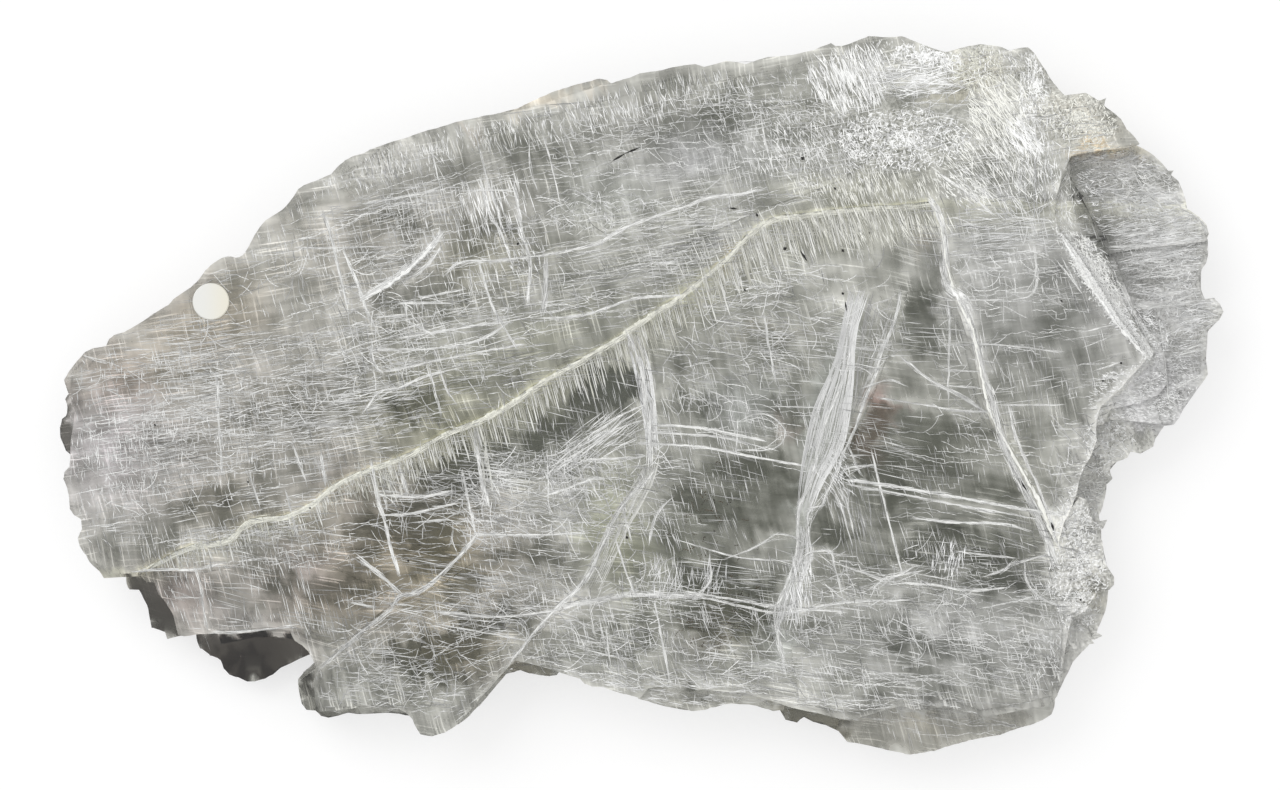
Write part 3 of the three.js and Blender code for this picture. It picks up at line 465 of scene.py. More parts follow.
# Darker and paler places of the rough end: middle, half sizes, turn, change of tone
SHELF_TONES = [
    (1118, 272, 14, 24, 20, -34), (1145, 275, 28, 18, 0, -30), (1138, 325, 18, 28, 20, -30),
    (1180, 342, 16, 9, 0, -30), (1148, 207, 20, 14, 0, -10), (1197, 226, 16, 24, 0, 30),
    (1215, 312, 12, 20, 0, 34), (1172, 196, 24, 9, 25, 30), (1160, 242, 50, 5, 0, 20),
    (1160, 302, 40, 6, -5, 26), (1092, 166, 26, 8, 0, 18), (1196, 382, 16, 16, 0, 18),
    (1095, 262, 10, 20, -30, 16), (1150, 400, 30, 26, 0, 14), (1100, 150, 30, 5, 0, 12),
]

# Long bright lines in the crystal: width in pixels, how dense and bright, then points in pixels
VEINS = [
    (9, 1.0, [(930, 200), (938, 212), (944, 235), (945, 270), (950, 290), (960, 300), (970, 320),
              (978, 350), (985, 380), (993, 402), (1002, 440), (1020, 480), (1040, 520), (1055, 560)]),
    (4, 0.9, [(1010, 410), (1017, 440), (1035, 480), (1048, 515), (1058, 545)]),
    (12, 1.4, [(952, 290), (962, 298), (968, 308)]),
    (5, 0.7, [(905, 360), (930, 380), (960, 395), (985, 412)]),
    (3, 0.6, [(948, 300), (950, 330), (948, 400)]),
    (3, 0.7, [(880, 398), (925, 405), (955, 410), (985, 412)]),
    (3, 0.6, [(870, 385), (890, 380), (900, 383)]),
    (3, 0.6, [(850, 347), (875, 350)]),
    (4, 0.8, [(900, 295), (895, 320), (885, 345), (875, 375), (865, 400), (858, 420), (850, 440),
              (842, 455), (838, 470), (828, 490), (822, 505), (810, 510), (808, 530), (812, 555),
              (805, 570), (800, 590)]),
    (4, 0.8, [(855, 330), (850, 360), (835, 400), (826, 420), (818, 450), (812, 480), (800, 505),
              (798, 530), (797, 555), (790, 575), (780, 600), (775, 615), (785, 670)]),
    (7, 1.0, [(628, 335), (640, 360), (645, 400), (650, 425), (650, 460)]),
    (5, 0.7, [(636, 338), (650, 370), (654, 410), (656, 440)]),
    (6, 0.7, [(645, 480), (620, 510), (600, 550), (585, 580), (560, 605)]),
    (3, 0.8, [(655, 470), (640, 490), (632, 505)]),
    (4, 1.2, [(850, 480), (905, 488), (1000, 505), (1060, 515)]),
    (3, 0.9, [(852, 485), (905, 495), (990, 512)]),
    (3, 1.0, [(915, 518), (950, 522), (1003, 524), (1025, 530)]),
    (2, 0.9, [(960, 552), (1010, 558)]),
    (3, 0.8, [(845, 567), (870, 575), (885, 580), (900, 575), (912, 568)]),
    (3, 1.0, [(910, 583), (940, 586), (960, 590), (985, 590), (1002, 588)]),
    (3, 0.9, [(990, 575), (1005, 570), (1015, 563), (1050, 555)]),
    (3, 1.0, [(1025, 563), (1027, 580), (1040, 597), (1065, 608)]),
    (2, 0.8, [(985, 608), (1030, 598)]),
    (7, 0.8, [(560, 607), (600, 600), (640, 595), (700, 597)]),
    (3, 1.1, [(700, 597), (740, 606), (775, 613), (800, 611), (840, 603), (905, 600)]),
    (3, 0.9, [(690, 592), (735, 600), (780, 607), (840, 612)]),
    (3, 1.2, [(640, 443), (700, 447), (760, 458), (800, 465)]),
    (3, 1.1, [(650, 425), (700, 428), (760, 440)]),
    (3, 0.8, [(648, 432), (720, 437), (770, 450)]),
    (3, 0.9, [(590, 460), (645, 457)]),
    (3, 1.0, [(548, 495), (590, 480), (600, 478)]),
    (3, 0.9, [(480, 535), (540, 535), (580, 533)]),
    (3, 0.8, [(440, 612), (500, 617), (560, 610)]),
    (2, 0.8, [(440, 625), (480, 632), (520, 640)]),
    (2, 0.8, [(1000, 405), (1060, 405)]),
    (2, 0.8, [(945, 253), (975, 258)]),
    (2, 0.8, [(950, 300), (1005, 300)]),
    (2, 0.8, [(1010, 218), (1050, 220)]),
    (2, 0.7, [(950, 345), (1000, 345), (1060, 352)]),
    (2, 0.7, [(950, 370), (990, 372)]),
    (2, 0.7, [(950, 386), (980, 388)]),
    (2.2, 1.3, [(873, 457), (880, 485), (887, 513), (894, 541), (901, 569)]),
    (7, 0.9, [(475, 430), (478, 455), (482, 480), (486, 500)]),
    (3, 1.0, [(463, 475), (468, 500), (475, 530)]),
    (3, 0.8, [(622, 505), (630, 535)]),
    (3, 0.9, [(617, 545), (625, 570), (633, 590)]),
    (4, 1.2, [(372, 465), (378, 500), (384, 520), (390, 545), (397, 570)]),
    (5, 0.9, [(400, 470), (406, 490)]),
    (5, 0.8, [(322, 458), (325, 480)]),
    (3, 0.7, [(295, 450), (305, 480)]),
    (3, 0.7, [(250, 475), (257, 500)]),
    (3, 0.7, [(287, 495), (292, 515), (297, 535)]),
    (3, 0.7, [(217, 380), (219, 425), (222, 470)]),
    (4, 0.9, [(325, 215), (333, 245), (340, 275), (347, 305)]),
    (4, 1.0, [(345, 255), (352, 270), (360, 290), (368, 315)]),
    (3, 0.9, [(480, 180), (490, 215), (500, 230), (512, 262)]),
    (3, 0.8, [(487, 180), (500, 215)]),
    (3, 0.9, [(480, 265), (490, 300), (500, 320), (515, 345)]),
    (4, 0.9, [(515, 190), (520, 215), (522, 235), (530, 260), (528, 300)]),
    (9, 0.5, [(545, 262), (546, 290), (542, 310)]),
    (3, 0.8, [(430, 372), (440, 410)]),
    (3, 0.8, [(440, 370), (447, 390), (452, 398)]),
    (3, 0.8, [(765, 320), (770, 350), (775, 380)]),
    (4, 1.0, [(195, 572), (200, 590), (203, 610), (208, 634)]),
    (3, 0.9, [(655, 605), (662, 640), (672, 692)]),
    (4, 0.9, [(450, 270), (462, 262), (500, 260), (540, 256), (570, 250), (600, 243), (612, 235),
              (630, 226), (650, 218), (670, 211), (690, 205), (710, 197), (735, 195), (760, 190)]),
    (3, 0.9, [(545, 318), (580, 316), (600, 310), (620, 303), (640, 298), (680, 295)]),
    (3, 0.9, [(405, 338), (430, 333), (480, 325), (505, 322)]),
    (3, 0.9, [(380, 350), (440, 348), (480, 340), (505, 325)]),
    (3, 0.8, [(372, 345), (374, 360), (380, 370), (395, 370), (415, 365), (440, 360), (480, 352),
              (520, 345)]),
    (3, 1.0, [(365, 410), (380, 392), (400, 388), (420, 378), (440, 372)]),
    (3, 0.9, [(425, 297), (450, 292), (460, 290)]),
    (3, 0.8, [(405, 303), (450, 303)]),
    (3, 0.8, [(405, 303), (408, 320), (415, 325), (430, 333)]),
    (3, 0.5, [(300, 248), (380, 247)]),
    (3, 0.8, [(380, 317), (405, 315)]),
    (5, 0.8, [(360, 560), (380, 575), (398, 592)]),
    (5, 0.8, [(320, 668), (350, 642), (370, 625), (390, 610), (400, 597), (420, 592), (440, 575),
              (460, 555), (473, 540)]),
    (4, 1.0, [(380, 495), (420, 497), (445, 493)]),
    (3, 1.0, [(382, 515), (410, 514), (450, 505)]),
    (3, 0.9, [(420, 522), (445, 520)]),
    (4, 0.9, [(140, 571), (170, 570), (195, 570), (212, 566)]),
    (4, 0.9, [(208, 634), (240, 632), (290, 628)]),
    (3, 0.8, [(352, 603), (368, 606)]),
    (4, 1.0, [(512, 660), (545, 620), (575, 590)]),
    (9, 0.7, [(362, 298), (385, 285), (400, 275), (415, 262), (428, 250), (440, 235)]),
    (3, 1.0, [(405, 280), (420, 272), (432, 260), (440, 248)]),
    (3, 0.8, [(850, 450), (857, 467), (860, 472)]),
    (3, 0.8, [(840, 480), (845, 470), (855, 467), (873, 465)]),
    (3, 0.8, [(670, 500), (660, 510), (653, 525), (650, 540)]),
    (3, 0.8, [(710, 560), (710, 580), (700, 592), (690, 597)]),
    (3, 0.8, [(1035, 250), (1037, 280), (1030, 295), (1015, 300)]),
    (2, 0.8, [(1060, 265), (1080, 290)]),
    (2, 0.8, [(1064, 262), (1076, 284)]),
    (2.5, 1.4, [(943, 176), (957, 186), (972, 196), (988, 210)]),
    (4, 0.9, [(1112, 290), (1122, 296), (1138, 303), (1152, 306), (1172, 303), (1200, 292)]),
    (3, 0.8, [(1120, 300), (1140, 308), (1165, 306), (1195, 300)]),
    (1.5, 0.4, [(1082, 332), (1086, 345), (1092, 372), (1096, 392)]),
    (3, 0.8, [(1136, 233), (1171, 230), (1206, 218)]),
    (2, 0.9, [(1160, 308), (1166, 352), (1171, 396), (1176, 404)]),
    (2, 0.8, [(1193, 348), (1208, 343)]),
    (2, 0.8, [(1184, 354), (1202, 350)]),
    (2, 0.8, [(1182, 387), (1206, 374)]),
    (5, 0.8, [(1153, 189), (1168, 194), (1184, 198)]),
    (6, 0.8, [(1188, 211), (1200, 217), (1208, 226), (1211, 236)]),
    (2, 0.8, [(1128, 160), (1138, 176), (1146, 190), (1160, 202), (1176, 222)]),
    (2, 0.8, [(1104, 262), (1116, 274), (1124, 292), (1138, 316), (1150, 340)]),
    (1.5, 0.7, [(1172, 276), (1182, 268), (1192, 272), (1188, 282), (1176, 286)]),
    (1.5, 0.8, [(1083, 332), (1105, 327)]),
    (1.5, 0.7, [(1087, 346), (1108, 338)]),
    (2, 0.9, [(1102, 368), (1118, 363)]),
    (2, 0.9, [(1106, 375), (1115, 378), (1122, 388)]),
    (3, 0.9, [(1115, 246), (1150, 245), (1170, 246), (1190, 243)]),
    (2, 0.9, [(1040, 520), (1000, 512), (960, 505)]),
    (1.5, 0.9, [(738, 422), (750, 416), (762, 414), (772, 417), (780, 424), (785, 433), (780, 444),
                (766, 450), (739, 450)]),
    (1.5, 0.7, [(738, 422), (737, 445)]),
    (2, 0.9, [(828, 484), (836, 494), (842, 508), (848, 530), (851, 540)]),
    (2, 0.9, [(832, 480), (845, 497), (850, 515), (853, 530)]),
    (1.5, 0.8, [(826, 490), (829, 505), (834, 520)]),
    (2.5, 1.0, [(800, 562), (806, 555), (818, 551), (830, 552), (834, 562), (837, 575), (842, 594)]),
    (1.5, 0.8, [(728, 558), (745, 552), (760, 545), (775, 535), (790, 536), (800, 541)]),
    (1.5, 0.7, [(685, 542), (710, 550), (735, 557), (765, 560), (800, 561)]),
    (2, 0.9, [(872, 594), (878, 584), (890, 577), (918, 572)]),
    (1.8, 0.9, [(562, 458), (572, 450), (584, 444), (592, 434), (604, 428), (616, 418), (628, 412),
                (642, 406)]),
    (1.5, 0.8, [(575, 462), (588, 450), (600, 440), (614, 430), (630, 424), (642, 420)]),
    (1.5, 0.8, [(548, 474), (560, 462), (572, 456), (584, 449)]),
    (1.5, 0.9, [(547, 456), (548, 475), (548, 492)]),
    (1.5, 0.9, [(590, 480), (596, 492), (602, 502)]),
    (2, 1.0, [(477, 138), (483, 163), (489, 188)]),
    (1.5, 1.0, [(544, 140), (550, 159), (560, 202)]),
    (1.5, 0.9, [(569, 140), (574, 153)]),
    (1.5, 0.9, [(566, 149), (572, 172)]),
    (1.5, 0.7, [(529, 140), (530, 168), (536, 187)]),
    (1.8, 1.0, [(466, 191), (490, 190), (514, 191)]),
    (3, 0.6, [(368, 203), (419, 194), (441, 187)]),
    (2, 0.7, [(431, 148), (436, 170), (441, 192)]),
    (1.8, 1.1, [(760, 112), (765, 140), (772, 167)]),
    (1.5, 0.8, [(718, 90), (720, 108)]),
    (1.5, 0.8, [(748, 92), (751, 104)]),
]
# Tones on a scale of 255: of the face, of its plain ledges, how much paler it is along veins, and the
# painted highlight along rims
BASE_TONE = 137
PLAIN_LEDGE_TONE = 164
VEIN_HALO = 14
RIM_LIGHT = 36
# How the clear field darkens the crystal, how painted shade darkens the gully, and how the seam, ridge,
# crest and comb whiten it
CLEAR_FIELD_TONE = -34
GULLY_PAINTED_SHADE = -54
SEAM_TONE = 12
RIDGE_TONE = 22
CREST_TONE = 30
COMB_TONE = 20
# Red over green and blue over green, of the whole crystal and along the seam
BASE_CAST = (2.0, -6.0)
SEAM_CAST = (1.0, -9.0)
# Windows that change the tone by more than this have a fairly sharp edge
CLEAR_BELOW = -20
# The crystal has the tones of its ledges below the first height, and of its face above the second
LEDGE_HEIGHT = 19.5 * MM
FACE_HEIGHT = 22.0 * MM


def frayed(at):
    """Pixels moved to and fro along the fibre directions, so that the edges of patches fray."""
    for turn, seed in ((STEEP, 41), (LEVEL_BELOW, 42), (LEVEL_ABOVE, 43)):
        run = np.array([math.cos(math.radians(turn)), -math.sin(math.radians(turn))])
        along, across = at @ run, at @ [run[1], -run[0]]
        at = at + np.outer(11 * Noise(seed)(np.column_stack([along / 40, across / 7, along * 0])), run)
    return at


def face_tones(points, level):
    """At each point the crystal's tone, its red and blue over green, and its brightness from 0 to 1 (partly
    painted shade on the darkest ledges).
    """
    at = frayed(pixel(points))
    tone = np.full(len(at), float(BASE_TONE))
    red = np.full(len(at), BASE_CAST[0])
    blue = np.full(len(at), BASE_CAST[1])
    for share, change in patches(at, CLOUDS):
        tone += change * (ramp(share, 0.05, 0.55) if change < CLEAR_BELOW else share)
    for share, more_red, more_blue in patches(at, CASTS):
        red += more_red * share
        blue += more_blue * share
    on_face = ramp(level, LEDGE_HEIGHT, FACE_HEIGHT)
    ledge_tone = np.full(len(at), float(PLAIN_LEDGE_TONE))
    dark = np.ones(len(at))
    for outline, value, more_red, more_blue in LEDGE_TONES:
        share = within(at, outline, 2) * (1 - on_face)
        ledge_tone += (value - ledge_tone) * share
        # Darkens the colour of the darkest ledges: partly their own grey, partly painted shade.
        dark *= 1 - 0.72 * ramp(value, 134, 60) * share
        red += more_red * share
        blue += more_blue * share
    tone = tone * on_face + ledge_tone * (1 - on_face)
    tone += CLEAR_FIELD_TONE * within(at, CLEAR_FIELD, 4)
    for outline, change, soft in ((BLUE_BAND, 14, 5), (SECOND_BAND, 14, 6), (POWDER, 40, 8)):
        tone += change * within(at, outline, soft)
    blue += 2 * within(at, BLUE_BAND, 5)
    red -= 3 * within(at, BLUE_BAND, 5)
    at = pixel(points)
    for width, strength, line in VEINS:
        tone += VEIN_HALO * strength * np.exp(-(distance(at, line) / (3 + width)) ** 2)
    seam = np.exp(-(distance(at, smooth_line(SEAM, 12)) / 5) ** 2)
    ridge = np.exp(-(distance(at, smooth_line(RIDGE, 12)) / 7) ** 2)
    crest = np.exp(-(distance(at, smooth_line(CREST[2:], 12)) / 9) ** 2)
    tone += 24 * Noise(35)(points / [0.010, 0.004, 1]) * within(at, SHELF, 6)
    for share, change in patches(at, SHELF_TONES):
        tone += change * share
    # Painted shade in the gully at the foot of the cliff.
    tone += GULLY_PAINTED_SHADE * within(at, GULLY, 5)
    tone += SEAM_TONE * seam + RIDGE_TONE * ridge + CREST_TONE * crest
    red += SEAM_CAST[0] * seam
    blue += SEAM_CAST[1] * np.maximum(seam, 0.35 * ridge)
    comb = comb_share(at)
    tone += COMB_TONE * comb ** 3
    blue -= 10 * comb
    return tone, red, blue, dark


def rim_light(points, normals):
    """Painted highlight along the broken rims: how much paler the crystal is there, on a scale of 255."""
    walls = np.flatnonzero((np.abs(normals[:, 2]) < 0.6) & (points[:, 2] > 8 * MM))
    tree = KDTree(len(walls))
    for i, wall in enumerate(walls):
        tree.insert(points[wall], i)
    tree.balance()
    away = np.array([tree.find(point)[2] for point in points]) / PX
    width = 5 + 3 * Noise(34)(points / 0.02)
    strength = RIM_LIGHT * (1 - 0.7 * patch(pixel(points), 1070, 210, 40, 80))
    return strength * np.exp(-(away / width) ** 1.5) * (points[:, 2] > 14 * MM)


def comb_share(at):
    """How strongly the fibres under the growth seam show: 1 at the seam, 0 beyond their tips."""
    line = smooth_line(SEAM, 6)[::-1]
    reach = np.interp(line[:, 0], *zip(*COMB_REACH))
    foot = at - np.outer(at[:, 1], FIBRE_LEAN)
    line_foot = line - np.outer(line[:, 1], FIBRE_LEAN)
    order = np.argsort(line_foot[:, 0])
    top = np.interp(foot[:, 0], line_foot[order, 0], line[order, 1])
    long = np.interp(foot[:, 0], line_foot[order, 0], reach[order])
    below = (at[:, 1] - top) / long
    return np.where(below > -0.02, np.clip(1 - below, 0, 1), 0)


# Length of the fibres under the seam, in pixels, at some places along it
COMB_REACH = [(130, 24), (300, 30), (420, 34), (520, 42), (640, 50), (760, 58), (880, 50), (931, 34)]
FIBRE_LEAN = np.array([0.27, 0.0])


def corner_normals(points, triangles):
    """The unit normal at each point, weighted by the area of the triangles around it."""
    a, b, c = (points[triangles[:, k]] for k in range(3))
    across = np.cross(b - a, c - a)
    normals = np.zeros_like(points)
    for k in range(3):
        np.add.at(normals, triangles[:, k], across)
    return normals / np.maximum(np.linalg.norm(normals, axis=1, keepdims=True), 1e-12)


# How deep the weathering goes, in mm: on broken edges, on the planes, on the rough end and along rims
LAMELLA_DEPTH = 0.30
SPLINTER_DEPTH = 0.16
EDGE_LOSS = 0.12
SWELL_DEPTH = 0.10
RIPPLE_DEPTH = 0.035
GRIT_DEPTH = 0.34
FINE_GRIT_DEPTH = 0.22
CHIP_DEPTH = 0.35


def weathered(points, triangles):
    """The surface with thin lamellae on its broken edges and a gentle swell on its planes, in mm."""
    normals = corner_normals(points, triangles)
    level = np.abs(normals[:, 2])
    sideways = normals * [1, 1, 0]
    sideways /= np.maximum(np.linalg.norm(sideways, axis=1, keepdims=True), 1e-9)
    lamellae = Noise(1)(points / [11, 11, 0.7])
    splinters = Noise(2)(points / [1.3, 1.3, 4.0])
    depth = LAMELLA_DEPTH * lamellae + SPLINTER_DEPTH * splinters - EDGE_LOSS
    edge_share = np.clip(1 - level, 0, 1) ** 0.5
    moved = points + sideways * (depth * edge_share)[:, None]
    swell = SWELL_DEPTH * Noise(3)(points / [22, 14, 30])
    swell += RIPPLE_DEPTH * Noise(4)(points / [7, 2.2, 30])
    rough = inside(pixel(points * MM), ROUGH_GROUND)
    grit = GRIT_DEPTH * Noise(5)(points / 2.6) + FINE_GRIT_DEPTH * Noise(6)(points / 1.3)
    near_dot = np.linalg.norm((points * MM)[:, :2] - DOT_MIDDLE, axis=1) < DOT_RADIUS + 2 * MM
    faces_up = normals[:, 2] > 0.2
    chips = -CHIP_DEPTH * np.clip(Noise(8)(points / [2.4, 2.4, 9]), 0, 1) * (level < 0.97)
    rise = np.where(rough, grit, swell) + chips
    moved[:, 2] += np.where(faces_up & ~near_dot, rise * normals[:, 2], 0)
    near_seam = distance(pixel(points * MM), SEAM) < 9
    moved[near_seam, 2] = np.minimum(moved[near_seam, 2], RAISED_TOP / MM)
    moved[points[:, 2] < 0.05, 2] = 0
    low, high = np.array(SLAB_LOW) / MM, np.array(SLAB_HIGH) / MM
    return np.clip(moved, low, high)


DOT_MIDDLE = np.array([(DOT_LOW.x + DOT_HIGH.x) / 2, (DOT_LOW.y + DOT_HIGH.y) / 2])
DOT_RADIUS = (DOT_HIGH.x - DOT_LOW.x) / 2


def new_piece(name, points, faces, material, smooth=True):
    """A mesh object in metres, riding on the slab's body."""
    mesh = bpy.data.meshes.new(name)
    points, faces = np.asarray(points, np.float32), np.asarray(faces, np.int32)
    mesh.vertices.add(len(points))
    mesh.vertices.foreach_set("co", points.ravel())
    mesh.loops.add(faces.size)
    mesh.loops.foreach_set("vertex_index", faces.ravel())
    mesh.polygons.add(len(faces))
    mesh.polygons.foreach_set("loop_start", np.arange(len(faces), dtype=np.int32) * faces.shape[1])
    mesh.polygons.foreach_set("use_smooth", [smooth] * len(faces))
    mesh.update(calc_edges=True)
    mesh.materials.append(material)
    piece = bpy.data.objects.new(name, mesh)
    bpy.context.scene.collection.objects.link(piece)
    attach(piece, "root")
    return piece


def sharpen(mesh, degrees):
    """Marks the edges that turn by more than an angle as sharp."""
    bm = bmesh.new()
    bm.from_mesh(mesh)
    for edge in bm.edges:
        edge.smooth = len(edge.link_faces) == 2 and edge.calc_face_angle() < math.radians(degrees)
    bm.to_mesh(mesh)
    bm.free()


FIELDS = {"FLOAT": "value", "FLOAT_COLOR": "color", "FLOAT_VECTOR": "vector"}


def store(mesh, name, values, kind="FLOAT"):
    """A number, colour or vector at each point of the mesh, for the materials."""
    made = mesh.attributes.new(name, kind, "POINT")
    made.data.foreach_set(FIELDS[kind], np.asarray(values, np.float32).ravel())


class Nodes:
    """A short way to lay out a material's nodes."""

    def __init__(self, name):
        self.material = bpy.data.materials.new(name)
        self.material.use_nodes = True
        self.tree = self.material.node_tree
        self.shader = self.tree.nodes["Principled BSDF"].inputs
        self.output = self.tree.nodes["Material Output"].inputs

    def add(self, kind, inputs=None, **settings):
        """A node with its settings, and its inputs by name."""
        node = self.tree.nodes.new("ShaderNode" + kind)
        for key, value in settings.items():
            setattr(node, key, value)
        for key, value in (inputs or {}).items():
            self.put(node.inputs[key], value)
        return node

    def put(self, socket, value):
        """Gives a socket a value, or a link from another socket."""
        if isinstance(value, bpy.types.NodeSocket):
            self.tree.links.new(value, socket)
        else:
            socket.default_value = value

    def math(self, operation, *values, clamp=False):
        """A sum, product or other operation on numbers."""
        node = self.add("Math", dict(enumerate(values)), operation=operation, use_clamp=clamp)
        return node.outputs[0]

    def span(self, value, low, high, to_low=0.0, to_high=1.0, smooth=True):
        inputs = {"Value": value, "From Min": low, "From Max": high, "To Min": to_low, "To Max": to_high}
        kind = "SMOOTHSTEP" if smooth else "LINEAR"
        return self.add("MapRange", inputs, interpolation_type=kind, clamp=True).outputs[0]

    def number(self, name):
        """A number stored on the mesh."""
        return self.add("Attribute", attribute_name=name).outputs["Fac"]

    def position(self):
        """Where a point is, in metres."""
        return self.add("TexCoord").outputs["Object"]

    def turned(self, where, turn, long, wide, seed):
        """Flat coordinates drawn out along a direction: its turn, a cell's length and its width in mm."""
        angle = self.add("Math", {0: turn, 1: -math.pi / 180}, operation="MULTIPLY").outputs[0]
        inputs = {"Vector": where, "Angle": angle}
        turned = self.add("VectorRotate", inputs, rotation_type="Z_AXIS").outputs[0]
        size = (1 / (long * MM), 1 / (wide * MM), 0.0)
        shift = (seed * 7.3, seed * 3.1, 0.0)
        return self.add("VectorMath", {0: turned, 1: size, 2: shift}, operation="MULTIPLY_ADD").outputs[0]

    def streaks(self, where, turn, long, wide, seed, detail=2.0):
        """Soft streaks."""
        at = self.turned(where, turn, long, wide, seed)
        noise = {"Vector": at, "Scale": 1.0, "Detail": detail, "Roughness": 0.6}
        return self.add("TexNoise", noise, noise_dimensions="2D").outputs["Fac"]

    def fibres(self, where, turn, long, wide, seed, least=0.4, reach=0.34):
        """Crisp single fibres: those above a chance of least show, each as bright as its own chance."""
        at = self.turned(where, turn, long, wide, seed)
        cells = self.add("TexVoronoi", {"Vector": at, "Scale": 1.0}, voronoi_dimensions="2D", feature="F1")
        chance = self.add("SeparateColor", {"Color": cells.outputs["Color"]}).outputs[0]
        shape = self.span(cells.outputs["Distance"], reach, reach * 0.45)
        return self.math("MULTIPLY", shape, self.span(chance, least, 1.0, smooth=False))

    def spots(self, where, size, seed, detail=2.0):
        """Round noise with blotches of a size in mm."""
        shift = (seed * 5.1, seed * 2.3, seed * 3.7)
        inputs = {0: where, 1: (1 / (size * MM),) * 3, 2: shift}
        moved = self.add("VectorMath", inputs, operation="MULTIPLY_ADD")
        noise = {"Vector": moved.outputs[0], "Scale": 1.0, "Detail": detail}
        return self.add("TexNoise", noise, noise_dimensions="2D").outputs["Fac"]

    def sum(self, *parts):
        """All parts added up."""
        total = parts[0]
        for part in parts[1:]:
            total = self.math("ADD", total, part)
        return total

    def blend(self, share, a, b):
        """A number between a and b."""
        node = self.add("Mix", data_type="FLOAT")
        for socket, value in ((node.inputs[0], share), (node.inputs[2], a), (node.inputs[3], b)):
            self.put(socket, value)
        return node.outputs[0]

    def blend_colour(self, share, a, b, how="MIX"):
        """A colour between a and b."""
        node = self.add("Mix", data_type="RGBA", blend_type=how)
        for socket, value in ((node.inputs[0], share), (node.inputs[6], a), (node.inputs[7], b)):
            self.put(socket, value)
        return node.outputs[2]


# The crystal where it is clear and where it is milky, and what it takes from the light on the way through
CLEAR_COLOUR = (0.20, 0.205, 0.19, 1)
MILKY_COLOUR = (0.93, 0.94, 0.92, 1)
REFRACTION = 1.52
ABSORBED_COLOUR = (0.80, 0.82, 0.76, 1)
ABSORPTION = 95.0
# The tone, as a share of 1, at which milkiness starts
CLEAR_TONE = 0.20


def selenite():
    """Clear to milky crystal with streaks along its two fibre directions."""
    n = Nodes("selenite")
    where = n.position()
    drift = n.add("Attribute", attribute_name="drift").outputs["Vector"]
    bent = n.add("VectorMath", {0: where, 1: drift}, operation="ADD").outputs[0]
    level = n.blend(n.number("below"), LEVEL_ABOVE, LEVEL_BELOW)
    comb = n.number("comb")
    more_level = n.number("more_level")
    fibrous = n.number("fibrous")
    level_share = n.math("MULTIPLY", n.blend(more_level, 0.14, 0.30), fibrous)
    level_part = n.math("MULTIPLY", n.fibres(bent, level, 16, 0.70, 1, 0.60), level_share)
    steep_share = n.math("MULTIPLY", n.blend(more_level, 0.26, 0.12), fibrous)
    steep_part = n.math("MULTIPLY", n.fibres(bent, STEEP, 14, 0.70, 3, 0.58), steep_share)
    haze = n.math("MULTIPLY_ADD", n.spots(bent, 9, 5, 2.0), 0.44, -0.22)
    wide_steep = n.streaks(bent, STEEP, 24, 1.6, 7, 1.0)
    wide_level = n.streaks(bent, level, 30, 1.8, 6, 1.0)
    wide = n.blend(more_level, wide_steep, wide_level)
    wide_part = n.math("MULTIPLY_ADD", wide, 0.26, -0.20)
    comb_streaks = n.math("MULTIPLY_ADD", n.streaks(bent, STEEP, 16, 0.6, 9, 1.0), 0.4, -0.14)
    comb_part = n.math("MULTIPLY", comb, comb_streaks)
    specks = n.math("MULTIPLY_ADD", n.spots(where, 0.8, 8, 1.0), 0.7, -0.36)
    crumbs = n.math("MULTIPLY", n.number("crumbly"), specks)
    total = n.sum(n.number("tone"), level_part, steep_part, haze, wide_part, comb_part, crumbs)
    milk = n.span(total, CLEAR_TONE, 1.0, smooth=False)
    colour = n.blend_colour(milk, CLEAR_COLOUR, MILKY_COLOUR)
    cast = n.add("Attribute", attribute_name="cast").outputs["Color"]
    n.put(n.shader["Base Color"], n.blend_colour(1.0, colour, cast, "MULTIPLY"))
    n.put(n.shader["Transmission Weight"], n.span(milk, 0.0, 0.85, 0.97, 0.0, smooth=False))
    n.put(n.shader["Roughness"], n.span(milk, 0.0, 0.8, 0.06, 0.45, smooth=False))
    n.shader["IOR"].default_value = REFRACTION
    height = n.streaks(where, LEVEL_ABOVE, 6, 1.0, 10, 0.0)
    bump = n.add("Bump", {"Height": height, "Strength": 0.3, "Distance": 0.3 * MM})
    n.put(n.shader["Normal"], bump.outputs[0])
    absorb = n.add("VolumeAbsorption", {"Color": ABSORBED_COLOUR, "Density": ABSORPTION})
    n.tree.links.new(absorb.outputs["Volume"], n.output["Volume"])
    return n.material


# Hazy places with fewer fibres: middle, half sizes, turn, share of the fibres lost
CALM = [
    (720, 500, 130, 110, 0, 0.9), (940, 450, 90, 80, 0, 0.6), (1010, 330, 70, 90, 0, 0.8),
    (590, 400, 70, 50, -25, 0.9), (720, 330, 90, 60, 0, 0.7), (950, 150, 150, 90, 0, 0.9),
    (1060, 90, 60, 60, 0, 0.9), (920, 600, 120, 40, 0, 0.5), (1080, 560, 40, 90, 0, 0.9),
    (700, 150, 120, 60, 0, 0.6), (430, 530, 60, 40, 0, 0.5), (610, 190, 60, 40, 0, 0.6),
    (1160, 300, 90, 160, 0, 0.8), (850, 400, 50, 130, 20, 0.9), (560, 560, 60, 60, 0, 0.6),
    (300, 430, 50, 40, 0, 0.4),
]


# Places where the crystal is crumbly: middle, half sizes, turn, how much
CRUMBLY = [
    (905, 138, 80, 40, 0, 1.0), (1078, 117, 50, 34, 20, 1.0), (980, 72, 44, 34, 0, 0.9),
    (1034, 90, 28, 44, 0, 0.9), (1080, 560, 36, 90, 0, 1.0), (930, 60, 70, 18, 0, 0.8),
    (800, 130, 60, 40, 0, 0.5), (380, 165, 60, 24, -20, 0.5), (1000, 150, 50, 60, 0, 0.6),
    (600, 215, 50, 26, 0, 0.5),
]


# How far the fibres of the material waver, and how far they shift to a side for each metre upwards
WAVER = 1.3 * MM
SLANT = 2.0


